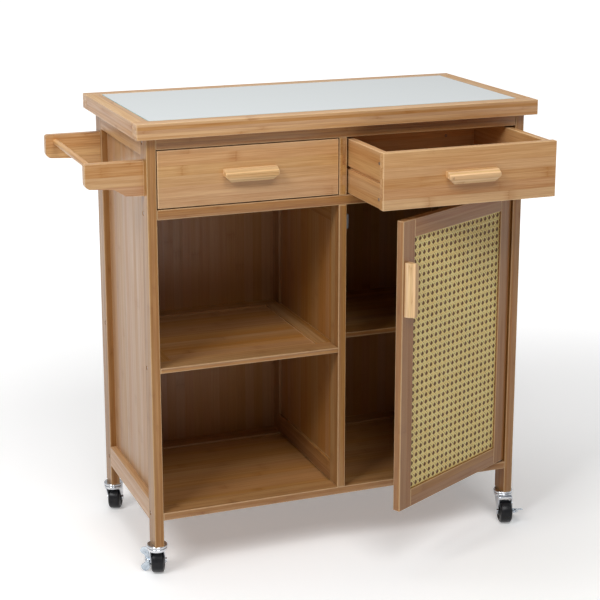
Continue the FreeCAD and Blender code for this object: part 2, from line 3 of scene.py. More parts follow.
import json
import logging
import math
from dataclasses import dataclass, field
from enum import Enum

import bmesh
import bpy
import numpy as np
from mathutils import Matrix, Vector


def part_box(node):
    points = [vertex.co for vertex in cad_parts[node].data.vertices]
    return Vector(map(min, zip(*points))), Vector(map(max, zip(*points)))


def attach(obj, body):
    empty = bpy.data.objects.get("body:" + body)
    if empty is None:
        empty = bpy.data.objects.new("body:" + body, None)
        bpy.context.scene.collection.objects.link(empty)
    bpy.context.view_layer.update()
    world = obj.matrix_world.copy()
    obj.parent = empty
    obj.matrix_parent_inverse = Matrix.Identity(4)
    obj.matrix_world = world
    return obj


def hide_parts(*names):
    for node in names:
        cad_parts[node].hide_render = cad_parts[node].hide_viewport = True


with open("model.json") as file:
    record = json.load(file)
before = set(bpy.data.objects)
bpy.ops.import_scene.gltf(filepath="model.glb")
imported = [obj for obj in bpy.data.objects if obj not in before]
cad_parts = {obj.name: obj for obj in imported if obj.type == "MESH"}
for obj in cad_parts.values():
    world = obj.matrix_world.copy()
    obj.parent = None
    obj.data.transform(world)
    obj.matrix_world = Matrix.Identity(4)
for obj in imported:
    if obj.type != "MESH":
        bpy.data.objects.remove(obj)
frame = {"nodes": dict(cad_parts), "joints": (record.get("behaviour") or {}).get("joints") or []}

LOG = logging.getLogger("cart")
MM = 0.001
MERGE_DISTANCE = 1e-6
ONE_TURN = 2 * np.pi
CENTIMETRES = 100
Colour = tuple[float, float, float]
Socket = bpy.types.NodeSocket
Material = bpy.types.Material
PieceObject = bpy.types.Object


class Grain(Enum):
    """How a board's x, y and z serve as along-the-grain, across-the-strips and through-the-layers."""

    ACROSS_UPRIGHT = "XZY"
    ACROSS_FLAT = "XYZ"
    DEEP_UPRIGHT = "YZX"
    DEEP_FLAT = "YXZ"
    STANDING_FRONT = "ZXY"
    STANDING_SIDE = "ZYX"


# ---------------------------------------------------------------------------- node graphs


class Graph:
    """Short calls for building the nodes of one material or node group."""

    def __init__(self, tree: bpy.types.NodeTree) -> None:
        """Work on the given node tree."""
        self.tree = tree

    def add(self, kind: str, **settings: object) -> bpy.types.Node:
        """Add a shader node.

        Args:
            kind: the node's type, without its ShaderNode prefix.
            settings: attributes to set on the node.

        Returns:
            The new node.
        """
        node = self.tree.nodes.new("ShaderNode" + kind)
        for name, value in settings.items():
            setattr(node, name, value)
        return node

    def feed(self, socket: Socket, value: object) -> None:
        """Link a socket into another, or set a plain value on it."""
        if isinstance(value, bpy.types.NodeSocket):
            self.tree.links.new(value, socket)
        else:
            socket.default_value = value

    def calc(self, operation: str, *values: object, clamp: bool = False) -> Socket:
        """Apply one arithmetic operation.

        Args:
            operation: the Math node's operation.
            values: numbers or sockets, in the node's order.
            clamp: keep the result between 0 and 1.

        Returns:
            The result's socket.
        """
        node = self.add("Math", operation=operation, use_clamp=clamp)
        for socket, value in zip(node.inputs, values):
            self.feed(socket, value)
        return node.outputs[0]

    def times(self, first: object, second: object) -> Socket:
        """Multiply two numbers or sockets."""
        return self.calc("MULTIPLY", first, second)

    def arrows(self, operation: str, *values: object) -> Socket:
        """Apply one vector operation.

        Args:
            operation: the Vector Math node's operation.
            values: vectors or sockets, in the node's order.

        Returns:
            The vector result's socket.
        """
        node = self.add("VectorMath", operation=operation)
        for socket, value in zip(node.inputs, values):
            self.feed(socket, value)
        return node.outputs[0]

    def pack(self, x: object, y: object, z: object) -> Socket:
        """Join three numbers into a vector."""
        node = self.add("CombineXYZ")
        for socket, value in zip(node.inputs, (x, y, z)):
            self.feed(socket, value)
        return node.outputs[0]

    def split(self, vector: Socket) -> tuple[Socket, Socket, Socket]:
        """Take a vector apart into its three numbers."""
        node = self.add("SeparateXYZ")
        self.feed(node.inputs[0], vector)
        return node.outputs[0], node.outputs[1], node.outputs[2]

    def fade(self, value: Socket, low: float, high: float, start: float = 0.0, end: float = 1.0) -> Socket:
        """Ease from start to end while value goes from low to high.

        Args:
            value: the socket to follow.
            low: the value at which the change begins.
            high: the value at which it is over.
            start: the result below low.
            end: the result above high.

        Returns:
            The eased number's socket.
        """
        node = self.add("MapRange", interpolation_type="SMOOTHSTEP")
        for index, number in enumerate((value, low, high, start, end)):
            self.feed(node.inputs[index], number)
        return node.outputs[0]

    def noise(self, vector: Socket, scale: float, detail: float = 2.0, rough: float = 0.5) -> Socket:
        """Smooth random value of about 0 to 1 at a point.

        Args:
            vector: the point.
            scale: waves a unit of length.
            detail: how many finer layers are added.
            rough: how strong the finer layers are.

        Returns:
            The value's socket.
        """
        node = self.add("TexNoise")
        self.feed(node.inputs["Vector"], vector)
        node.inputs["Scale"].default_value = scale
        node.inputs["Detail"].default_value = detail
        node.inputs["Roughness"].default_value = rough
        return node.outputs[0]

    def dice(self, vector: Socket) -> tuple[Socket, Socket, Socket]:
        """Draw random values that stay the same wherever the vector does.

        Args:
            vector: the point that decides them.

        Returns:
            Three unrelated values from 0 to 1.
        """
        node = self.add("TexWhiteNoise", noise_dimensions="3D")
        self.feed(node.inputs["Vector"], vector)
        colour = self.add("SeparateColor")
        self.feed(colour.inputs[0], node.outputs["Color"])
        return colour.outputs[0], colour.outputs[1], colour.outputs[2]

    def tint(self, amount: object, first: object, second: object) -> Socket:
        """Blend two colours.

        Args:
            amount: 0 for the first, 1 for the second.
            first: a colour or socket.
            second: a colour or socket.

        Returns:
            The blended colour's socket.
        """
        node = self.add("Mix", data_type="RGBA")
        for index, value in ((0, amount), (6, first), (7, second)):
            self.feed(node.inputs[index], rgba(value))
        return node.outputs[2]

    def choose(self, amount: object, first: object, second: object) -> Socket:
        """Blend two numbers.

        Args:
            amount: 0 for the first, 1 for the second.
            first: a number or socket.
            second: a number or socket.

        Returns:
            The blended number's socket.
        """
        node = self.add("Mix", data_type="FLOAT")
        for index, value in ((0, amount), (2, first), (3, second)):
            self.feed(node.inputs[index], value)
        return node.outputs[0]

    def group(self, tree: bpy.types.NodeTree, **values: object) -> bpy.types.Node:
        """Place a node group and feed its inputs.

        Args:
            tree: the group.
            values: what to feed, by input name.

        Returns:
            The group's node.
        """
        node = self.add("Group", node_tree=tree)
        for name, value in values.items():
            self.feed(node.inputs[name], rgba(value))
        return node


def rgba(value: object) -> object:
    """Give a plain colour its alpha; anything else passes through."""
    if isinstance(value, tuple) and len(value) == 3:
        return (*value, 1.0)
    return value


def new_group(name: str, inputs: dict[str, str], outputs: dict[str, str]) -> tuple[Graph, Socket, Socket]:
    """Start a shader node group.

    Args:
        name: the group's name.
        inputs: socket kind ("Float", "Vector" or "Color") by input name.
        outputs: socket kind by output name.

    Returns:
        The graph, the group's input sockets and its output sockets.
    """
    tree = bpy.data.node_groups.new(name, "ShaderNodeTree")
    for direction, sockets in (("INPUT", inputs), ("OUTPUT", outputs)):
        for label, kind in sockets.items():
            tree.interface.new_socket(label, in_out=direction, socket_type="NodeSocket" + kind)
    graph = Graph(tree)
    entry = tree.nodes.new("NodeGroupInput")
    leave = tree.nodes.new("NodeGroupOutput")
    return graph, entry.outputs, leave.inputs


def laminate_group() -> bpy.types.NodeTree:
    """Bamboo strips glued side by side.

    Position holds metres along the grain, across the strips and through the layers.  Each
    strip takes its own tone; long streaks and fine fibres run along it; knuckles cross it
    about every 27 cm, at their own places in each strip; thin amber lines part the strips.

    Returns:
        The node group.
    """
    graph, given, out = new_group(
        "bamboo_laminate",
        {"Position": "Vector", "Strip": "Float", "Layer": "Float", "Seed": "Float",
         "Pale": "Color", "Tan": "Color", "Amber": "Color"},
        {"Color": "Color", "Roughness": "Float", "Height": "Float"},
    )
    spacing, wander = 0.27, 0.008
    along, across, through = graph.split(given["Position"])
    row = graph.calc("FLOOR", graph.calc("DIVIDE", across, given["Strip"]))
    layer = graph.calc("FLOOR", graph.calc("DIVIDE", through, given["Layer"]))
    first, second, third = graph.dice(graph.pack(row, layer, given["Seed"]))
    shift = graph.times(first, 9.0)

    drift = graph.noise(graph.pack(graph.times(along, 2.0), row, given["Seed"]), 1.0, 2.0)
    bent = graph.calc("ADD", across, graph.times(drift, wander))

    def lines(stretch: float, density: float, detail: float) -> Socket:
        """Noise drawn out along the grain, with so many waves a metre each way."""
        at = graph.pack(graph.calc("MULTIPLY_ADD", along, stretch, shift), graph.times(bent, density),
                        graph.times(through, density))
        return graph.noise(at, 1.0, detail, 0.6)

    streak = graph.fade(lines(3.0, 130.0, 3.0), 0.32, 0.68)
    line = graph.fade(lines(11.0, 520.0, 2.0), 0.36, 0.66)
    fibre = lines(50.0, 1900.0, 2.0)
    tone = graph.calc("MULTIPLY_ADD", first, 0.48, graph.times(streak, 0.44))
    tone = graph.calc("MULTIPLY_ADD", line, 0.36, tone)
    tone = graph.calc("SUBTRACT", tone, 0.13, clamp=True)
    colour = graph.tint(tone, given["Pale"], given["Tan"])

    steps = graph.calc("ADD", graph.calc("DIVIDE", along, spacing), graph.times(second, 7.0))
    cell = graph.calc("FLOOR", steps)
    place, shown, lean = graph.dice(graph.pack(cell, row, graph.calc("ADD", layer, given["Seed"])))
    centre = graph.calc("MULTIPLY_ADD", place, 0.5, 0.25)
    offset = graph.times(graph.calc("SUBTRACT", graph.calc("FRACT", steps), centre), spacing)
    ragged_at = graph.pack(graph.times(across, 230.0), graph.times(through, 230.0), cell)
    ragged = graph.noise(ragged_at, 1.0, 3.0)
    offset = graph.calc("ADD", offset, graph.times(graph.calc("SUBTRACT", ragged, 0.5), 0.018))
    band = graph.fade(graph.calc("ABSOLUTE", offset), 0.0, 0.0034, 1.0, 0.0)
    leaning = graph.calc("MULTIPLY_ADD", lean, 0.016, -0.008)
    smear_at = graph.calc("ABSOLUTE", graph.calc("ADD", offset, leaning))
    smear = graph.times(graph.fade(smear_at, 0.0, 0.020, 1.0, 0.0), graph.calc("ADD", line, 0.35))
    knuckle = graph.calc("ADD", graph.times(band, 0.26), graph.times(smear, 0.42))
    knuckle = graph.calc("MULTIPLY", knuckle, graph.fade(shown, 0.2, 0.7), clamp=True)
    colour = graph.tint(knuckle, colour, given["Amber"])

    side = graph.calc("FRACT", graph.calc("DIVIDE", across, given["Strip"]))
    edge = graph.times(graph.calc("ABSOLUTE", graph.calc("SUBTRACT", side, 0.5)), 2.0)
    level = graph.calc("FRACT", graph.calc("DIVIDE", through, given["Layer"]))
    skin = graph.times(graph.calc("ABSOLUTE", graph.calc("SUBTRACT", level, 0.5)), 2.0)
    between_strips = graph.times(graph.fade(edge, 0.86, 1.0), graph.fade(third, 0.1, 0.9, 0.25, 0.8))
    between_layers = graph.times(graph.fade(skin, 0.76, 1.0), 0.55)
    glue = graph.calc("MAXIMUM", between_strips, between_layers)
    colour = graph.tint(graph.times(glue, 0.62), colour, given["Amber"])
    shade = graph.add("HueSaturation")
    graph.feed(shade.inputs["Color"], colour)
    graph.feed(shade.inputs["Value"], graph.calc("MULTIPLY_ADD", fibre, 0.30, 0.85))
    graph.feed(shade.inputs["Saturation"], graph.calc("MULTIPLY_ADD", second, 0.14, 0.95))
    graph.feed(shade.inputs["Hue"], graph.calc("MULTIPLY_ADD", third, 0.006, 0.498))

    graph.feed(out["Color"], shade.outputs[0])
    rough = graph.calc("MULTIPLY_ADD", streak, 0.16, 0.30)
    graph.feed(out["Roughness"], graph.calc("MULTIPLY_ADD", fibre, 0.10, rough))
    height = graph.calc("SUBTRACT", graph.times(fibre, 0.6), graph.times(glue, 0.5))
    graph.feed(out["Height"], graph.calc("SUBTRACT", height, graph.times(band, 0.3)))
    return graph.tree


def eased_edge_group() -> bpy.types.NodeTree:
    """Mask of a box-shaped board's edges: the second smallest distance to its faces is near zero there."""
    graph, given, out = new_group(
        "eased_edges",
        {"Position": "Vector", "Size": "Vector", "Width": "Float"},
        {"Mask": "Float"},
    )
    far = graph.arrows("SUBTRACT", given["Size"], given["Position"])
    near = graph.arrows("MINIMUM", given["Position"], far)
    x, y, z = graph.split(graph.arrows("ABSOLUTE", near))
    low = graph.calc("MINIMUM", x, y)
    high = graph.calc("MAXIMUM", x, y)
    middle = graph.calc("MAXIMUM", low, graph.calc("MINIMUM", high, z))
    ragged = graph.noise(given["Position"], 90.0, 3.0)
    middle = graph.calc("ADD", middle, graph.times(graph.calc("SUBTRACT", ragged, 0.5), 0.0012))
    share = graph.calc("DIVIDE", middle, given["Width"])
    graph.feed(out["Mask"], graph.fade(share, 0.25, 1.0, 1.0, 0.0))
    return graph.tree


def handling_group() -> bpy.types.NodeTree:
    """Uneven sheen of handled metal, glass and rubber: broad smudges, fine scratches and dust."""
    graph, given, out = new_group(
        "handling_wear",
        {"Position": "Vector", "Scale": "Float"},
        {"Smudge": "Float", "Scratch": "Float", "Dust": "Float"},
    )
    at = graph.arrows("SCALE", given["Position"])
    graph.feed(at.node.inputs["Scale"], given["Scale"])
    smudge = graph.noise(at, 1.0, 4.0, 0.6)
    x, y, z = graph.split(at)
    line_at = graph.pack(graph.times(x, 3.0), graph.times(y, 40.0), graph.times(z, 40.0))
    scratch = graph.fade(graph.noise(line_at, 1.0, 2.0, 0.5), 0.60, 0.74)
    dust = graph.fade(graph.noise(at, 6.0, 3.0, 0.6), 0.52, 0.75)
    graph.feed(out["Smudge"], smudge)
    graph.feed(out["Scratch"], scratch)
    graph.feed(out["Dust"], dust)
    return graph.tree


@dataclass
class EffectGroups:
    """The shared node groups, built once."""

    laminate: bpy.types.NodeTree = field(default_factory=laminate_group)
    edges: bpy.types.NodeTree = field(default_factory=eased_edge_group)
    wear: bpy.types.NodeTree = field(default_factory=handling_group)


def blank_material(name: str) -> tuple[Material, Graph, bpy.types.Node]:
    """Start a material with one Principled surface.

    Args:
        name: the material's name.

    Returns:
        The material, its graph and its Principled node.
    """
    material = bpy.data.materials.new(name)
    material.use_nodes = True
    material.node_tree.nodes.clear()
    graph = Graph(material.node_tree)
    surface = graph.add("BsdfPrincipled")
    output = graph.add("OutputMaterial")
    graph.feed(output.inputs["Surface"], surface.outputs[0])
    return material, graph, surface


def raise_bump(graph: Graph, surface: bpy.types.Node, height: Socket, strength: float,
               distance: float) -> None:
    """Feed a height into the surface's normal through a Bump node.

    Args:
        graph: the material's graph.
        surface: its Principled node.
        height: the relief, from 0 to 1.
        strength: how much of it shows.
        distance: the relief's depth in metres.
    """
    bump = graph.add("Bump")
    bump.inputs["Strength"].default_value = strength
    bump.inputs["Distance"].default_value = distance
    graph.feed(bump.inputs["Height"], height)
    graph.feed(surface.inputs["Normal"], bump.outputs[0])


# ---------------------------------------------------------------------------- finishes


@dataclass(frozen=True)
class BambooFinish:
    """Lacquered bamboo made of strips: their colours and their section."""

    pale: Colour = (0.70, 0.45, 0.235)
    tan: Colour = (0.42, 0.205, 0.080)
    amber: Colour = (0.33, 0.128, 0.028)
    strip: float = 0.0205
    layer: float = 0.0063
    edge_width: float = 0.0026
    # pale tint of the eased edges: partly rubbed wear, partly a painted highlight of light catching the
    # rounded edges
    edge_wear_and_highlight: Colour = (0.80, 0.58, 0.34)

    def oriented(self, graph: Graph, local: Socket, grain: Grain) -> Socket:
        """Reorder a local position so that the grain comes first."""
        parts = dict(zip("XYZ", graph.split(local)))
        return graph.pack(*[parts[letter] for letter in grain.value])

    def material(self, groups: EffectGroups, name: str, low: Vector, high: Vector, grain: Grain, seed: float,
                 turn: float = 0.0, ends: "EndBoards | None" = None) -> Material:
        """Make one board's material.

        Args:
            groups: the shared node groups.
            name: the material's name.
            low: the board's lowest corner, in its own turned frame.
            high: its highest corner in that frame.
            grain: which way its strips run.
            seed: a number of its own, so that no two boards match.
            turn: how far the board is turned about the upright axis, in radians.
            ends: the boards at its ends that run another way, if any.

        Returns:
            The material.
        """
        material, graph, surface = blank_material(name)
        coordinates = graph.add("TexCoord")
        local = graph.add("Mapping", vector_type="POINT")
        graph.feed(local.inputs["Vector"], coordinates.outputs["Object"])
        local.inputs["Rotation"].default_value = (0.0, 0.0, -turn)
        local.inputs["Location"].default_value = -low
        position = local.outputs[0]
        settings = dict(Strip=self.strip, Layer=self.layer, Pale=self.pale, Tan=self.tan, Amber=self.amber)
        main = graph.group(groups.laminate, Position=self.oriented(graph, position, grain), Seed=seed,
                           **settings)
        colour, rough, height = main.outputs["Color"], main.outputs["Roughness"], main.outputs["Height"]
        if ends is not None:
            other = graph.group(groups.laminate, Position=self.oriented(graph, position, ends.grain),
                                Seed=seed + 40.0, **settings)
            inside = ends.mask(graph, coordinates.outputs["Object"])
            colour = graph.tint(inside, other.outputs["Color"], colour)
            rough = graph.choose(inside, other.outputs["Roughness"], rough)
            height = graph.choose(inside, other.outputs["Height"], height)
        rim = graph.group(groups.edges, Position=position, Size=high - low, Width=self.edge_width)
        # paler eased edges: partly wear, partly a painted highlight of the rounded edges
        edge_wear_and_highlight_share = graph.times(rim.outputs["Mask"], 0.34)
        colour = graph.tint(edge_wear_and_highlight_share, colour, self.edge_wear_and_highlight)
        graph.feed(surface.inputs["Base Color"], colour)
        graph.feed(surface.inputs["Roughness"], rough)
        surface.inputs["Coat Weight"].default_value = 0.22
        surface.inputs["Coat Roughness"].default_value = 0.28
        surface.inputs["Specular IOR Level"].default_value = 0.42
        raise_bump(graph, surface, height, 0.35, 0.00025)
        return material


@dataclass(frozen=True)
class EndBoards:
    """Boards in the same node that run another way: those outside a limit along one axis."""

    grain: Grain
    axis: str
    limit: float
    middle: float = 0.0

    def mask(self, graph: Graph, position: Socket) -> Socket:
        """Tell the middle boards from the end ones.

        Args:
            graph: the material's graph.
            position: a place in metres.

        Returns:
            A mask, 1 between the two limits and 0 beyond them.
        """
        parts = dict(zip("XYZ", graph.split(position)))
        distance = graph.calc("ABSOLUTE", graph.calc("SUBTRACT", parts[self.axis], self.middle))
        return graph.calc("LESS_THAN", distance, self.limit)


@dataclass(frozen=True)
class MetalFinish:
    """Bright metal with uneven polish."""

    colour: Colour
    shade: Colour
    rough_low: float
    rough_high: float
    scale: float = 60.0

    def material(self, groups: EffectGroups, name: str) -> Material:
        """Make the metal's material.

        Args:
            groups: the shared node groups.
            name: the material's name.

        Returns:
            The material.
        """
        material, graph, surface = blank_material(name)
        position = graph.add("TexCoord").outputs["Object"]
        wear = graph.group(groups.wear, Position=position, Scale=self.scale)
        smudge = graph.fade(wear.outputs["Smudge"], 0.35, 0.7)
        graph.feed(surface.inputs["Base Color"], graph.tint(smudge, self.colour, self.shade))
        rough = graph.choose(smudge, self.rough_low, self.rough_high)
        rough = graph.calc("MULTIPLY_ADD", wear.outputs["Scratch"], 0.12, rough)
        graph.feed(surface.inputs["Roughness"], rough)
        surface.inputs["Metallic"].default_value = 1.0
        raise_bump(graph, surface, wear.outputs["Smudge"], 0.08, 0.0002)
        return material


@dataclass(frozen=True)
class MouldedFinish:
    """Rubber or plastic with a faint moulded texture and a little dust."""

    colour: Colour
    dusty: Colour
    rough: float
    dust_share: float
    scale: float = 90.0

    def material(self, groups: EffectGroups, name: str) -> Material:
        """Make the moulded material.

        Args:
            groups: the shared node groups.
            name: the material's name.

        Returns:
            The material.
        """
        material, graph, surface = blank_material(name)
        position = graph.add("TexCoord").outputs["Object"]
        wear = graph.group(groups.wear, Position=position, Scale=self.scale)
        dust = graph.times(wear.outputs["Dust"], self.dust_share)
        graph.feed(surface.inputs["Base Color"], graph.tint(dust, self.colour, self.dusty))
        rough = graph.calc("MULTIPLY_ADD", wear.outputs["Smudge"], 0.24, self.rough - 0.12)
        graph.feed(surface.inputs["Roughness"], rough)
        surface.inputs["Specular IOR Level"].default_value = 0.3
        raise_bump(graph, surface, graph.noise(position, 1400.0, 2.0), 0.12, 0.0001)
        return material


@dataclass(frozen=True)
class GlassFinish:
    """Toughened glass painted white underneath: pale, glossy, greener at its edges."""

    face: Colour = (0.85, 0.91, 0.92)
    shade: Colour = (0.79, 0.87, 0.90)
    edge: Colour = (0.34, 0.50, 0.46)

    def material(self, groups: EffectGroups, name: str, low: Vector, high: Vector) -> Material:
        """Make the pane's material.

        Args:
            groups: the shared node groups.
            name: the material's name.
            low: the pane's lowest corner.
            high: its highest corner.

        Returns:
            The material.
        """
        material, graph, surface = blank_material(name)
        position = graph.add("TexCoord").outputs["Object"]
        local = graph.arrows("SUBTRACT", position, low)
        rim = graph.group(groups.edges, Position=local, Size=high - low, Width=0.0022)
        wear = graph.group(groups.wear, Position=position, Scale=9.0)
        tone = graph.tint(graph.times(wear.outputs["Smudge"], 0.12), self.face, self.shade)
        graph.feed(surface.inputs["Base Color"], graph.tint(rim.outputs["Mask"], tone, self.edge))
        rough = graph.calc("MULTIPLY_ADD", wear.outputs["Smudge"], 0.05, 0.035)
        graph.feed(surface.inputs["Roughness"], graph.calc("MULTIPLY_ADD", wear.outputs["Dust"], 0.03, rough))
        surface.inputs["Specular IOR Level"].default_value = 0.6
        surface.inputs["Coat Weight"].default_value = 0.6
        surface.inputs["Coat Roughness"].default_value = 0.02
        return material


@dataclass(frozen=True)
class CaneFinish:
    """Split rattan: each strand has its own straw tone, with fibres and small dark flecks along it."""

    straw: Colour = (0.93, 0.67, 0.235)
    sun: Colour = (0.98, 0.90, 0.45)
    bark: Colour = (0.42, 0.20, 0.035)

    def material(self, name: str) -> Material:
        """Make the cane material, which reads the strands' UV map and tone attribute.

        Args:
            name: the material's name.

        Returns:
            The material.
        """
        material, graph, surface = blank_material(name)
        along, across, _ = graph.split(graph.add("TexCoord").outputs["UV"])
        tone = graph.add("Attribute", attribute_name="strand_tone").outputs["Fac"]
        fibre_at = graph.pack(graph.times(along, 0.35), graph.times(across, 7.0),
                              graph.times(tone, 91.0))
        fibre = graph.noise(fibre_at, 3.0, 3.0, 0.6)
        fleck_at = graph.pack(graph.times(along, 1.1), across, graph.times(tone, 37.0))
        fleck = graph.fade(graph.noise(fleck_at, 2.6, 2.0), 0.62, 0.74)
        bleached = graph.calc("MULTIPLY_ADD", fibre, 0.5, graph.times(tone, 0.5))
        colour = graph.tint(bleached, self.straw, self.sun)
        rim = graph.fade(graph.calc("ABSOLUTE", graph.calc("SUBTRACT", across, 0.5)), 0.26, 0.5, 0.0, 0.55)
        colour = graph.tint(rim, colour, self.bark)
        colour = graph.tint(graph.times(fleck, 0.4), colour, self.bark)
        graph.feed(surface.inputs["Base Color"], colour)
        graph.feed(surface.inputs["Roughness"], graph.calc("MULTIPLY_ADD", fibre, 0.2, 0.36))
        surface.inputs["Specular IOR Level"].default_value = 0.4
        raise_bump(graph, surface, fibre, 0.3, 0.0002)
        return material


CHROME = MetalFinish((0.72, 0.74, 0.77), (0.48, 0.50, 0.54), 0.06, 0.18)
ZINC = MetalFinish((0.66, 0.72, 0.78), (0.42, 0.48, 0.54), 0.16, 0.30)
STEEL = MetalFinish((0.58, 0.57, 0.55), (0.42, 0.41, 0.40), 0.25, 0.42)
DARK_STEEL = MetalFinish((0.20, 0.19, 0.18), (0.13, 0.12, 0.11), 0.30, 0.48)
RUBBER = MouldedFinish((0.006, 0.006, 0.008), (0.035, 0.034, 0.033), 0.30, 0.25)
NYLON = MouldedFinish((0.66, 0.64, 0.58), (0.5, 0.47, 0.42), 0.5, 0.2)
CATCH_GREY = MouldedFinish((0.20, 0.20, 0.21), (0.33, 0.32, 0.31), 0.5, 0.2)
PLUG_WOOD = BambooFinish(pale=(0.66, 0.42, 0.22), tan=(0.30, 0.14, 0.05), strip=0.004)


# ---------------------------------------------------------------------------- surfaces


def sheet_faces(rows: int, columns: int, copies: int, close_rows: bool, close_columns: bool) -> np.ndarray:
    """Quads of one or more grids stored one after another, rows first.

    Args:
        rows: points along the first parameter.
        columns: points along the second.
        copies: how many such grids there are.
        close_rows: join the last row to the first.
        close_columns: join the last column to the first.

    Returns:
        An array of four vertex numbers a face.
    """
    row = np.arange(rows if close_rows else rows - 1)
    column = np.arange(columns if close_columns else columns - 1)
    r, c = np.meshgrid(row, column, indexing="ij")
    r2, c2 = (r + 1) % rows, (c + 1) % columns
    quads = np.stack([r * columns + c, r * columns + c2, r2 * columns + c2, r2 * columns + c], axis=-1)
    quads = quads.reshape(-1, 4)
    starts = np.arange(copies) * rows * columns
    return (quads[None] + starts[:, None, None]).reshape(-1, 4)


def build_mesh(name: str, points: np.ndarray, faces: np.ndarray) -> PieceObject:
    """Make a smooth-shaded object from numpy arrays, merge its poles and turn its faces outward.

    Args:
        name: the object's name.
        points: vertex places in metres, one a row.
        faces: vertex numbers, four a row.

    Returns:
        The object, linked to the scene.
    """
    mesh = bpy.data.meshes.new(name)
    mesh.from_pydata(points.reshape(-1, 3).tolist(), [], faces.tolist())
    body = bmesh.new()
    body.from_mesh(mesh)
    bmesh.ops.remove_doubles(body, verts=body.verts, dist=MERGE_DISTANCE)
    bmesh.ops.recalc_face_normals(body, faces=body.faces)
    body.to_mesh(mesh)
    body.free()
    mesh.polygons.foreach_set("use_smooth", np.full(len(mesh.polygons), True))
    mesh.update()
    piece = bpy.data.objects.new(name, mesh)
    bpy.context.scene.collection.objects.link(piece)
    return piece


def ring_angles(count: int) -> np.ndarray:
    """Angles evenly round a full turn, without the last one."""
    return np.linspace(0, ONE_TURN, count, endpoint=False)


def turned(profile: np.ndarray, segments: int) -> np.ndarray:
    """Spin a closed outline about the Y axis.

    Each outline point (y, radius) becomes a ring: x = radius cos t, z = radius sin t.

    Args:
        profile: outline points, one (y, radius) a row.
        segments: points round the axis.

    Returns:
        A grid of points, outline by segments by 3.
    """
    angle = ring_angles(segments)
    y = np.repeat(profile[:, :1], segments, axis=1)
    x = profile[:, 1:] * np.cos(angle)[None]
    z = profile[:, 1:] * np.sin(angle)[None]
    return np.stack([x, y, z], axis=-1)


def arc(centre: tuple[float, float], radius: float, start: float, end: float, count: int) -> np.ndarray:
    """Points on a circular arc: centre plus radius times (cos t, sin t).

    Args:
        centre: the arc's centre, as (y, radius from the axis).
        radius: the arc's own radius.
        start: its first angle t, in degrees.
        end: its last one.
        count: how many points.

    Returns:
        Points, count by 2.
    """
    t = np.radians(np.linspace(start, end, count))
    return np.stack([centre[0] + radius * np.cos(t), centre[1] + radius * np.sin(t)], axis=-1)


def give(piece: PieceObject, material: Material, body: str) -> None:
    """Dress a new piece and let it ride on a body.

    Args:
        piece: the piece.
        material: its finish.
        body: the body that it moves with.
    """
    piece.data.materials.clear()
    piece.data.materials.append(material)
    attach(piece, body)
    LOG.info("made %s on %s", piece.name, body)


def paint(node: str, material: Material) -> None:
    """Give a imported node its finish.

    Args:
        node: the node's name.
        material: the finish.
    """
    mesh = frame["nodes"][node].data
    mesh.materials.clear()
    mesh.materials.append(material)
    LOG.info("finished %s", node)


def joint_of(child: str) -> dict:
    """The joint that moves a body."""
    return next(joint for joint in frame["joints"] if joint["child"] == child)


def door_turn() -> float:
    """How far the door stands open at rest, in radians."""
    return -math.radians(joint_of("door")["range_deg"][0])


def turned_back(node: str, turn: float) -> tuple[np.ndarray, np.ndarray]:
    """Find a node's box after turning it back about the upright axis.

    Args:
        node: the node's name.
        turn: how far it is turned, in radians.

    Returns:
        The lowest and the highest corner.
    """
    mesh = frame["nodes"][node].data
    points = np.empty(len(mesh.vertices) * 3, np.float32)
    mesh.vertices.foreach_get("co", points)
    back = np.array(Matrix.Rotation(-turn, 3, "Z"))
    points = points.reshape(-1, 3) @ back.T
    return points.min(0), points.max(0)


# ---------------------------------------------------------------------------- boards


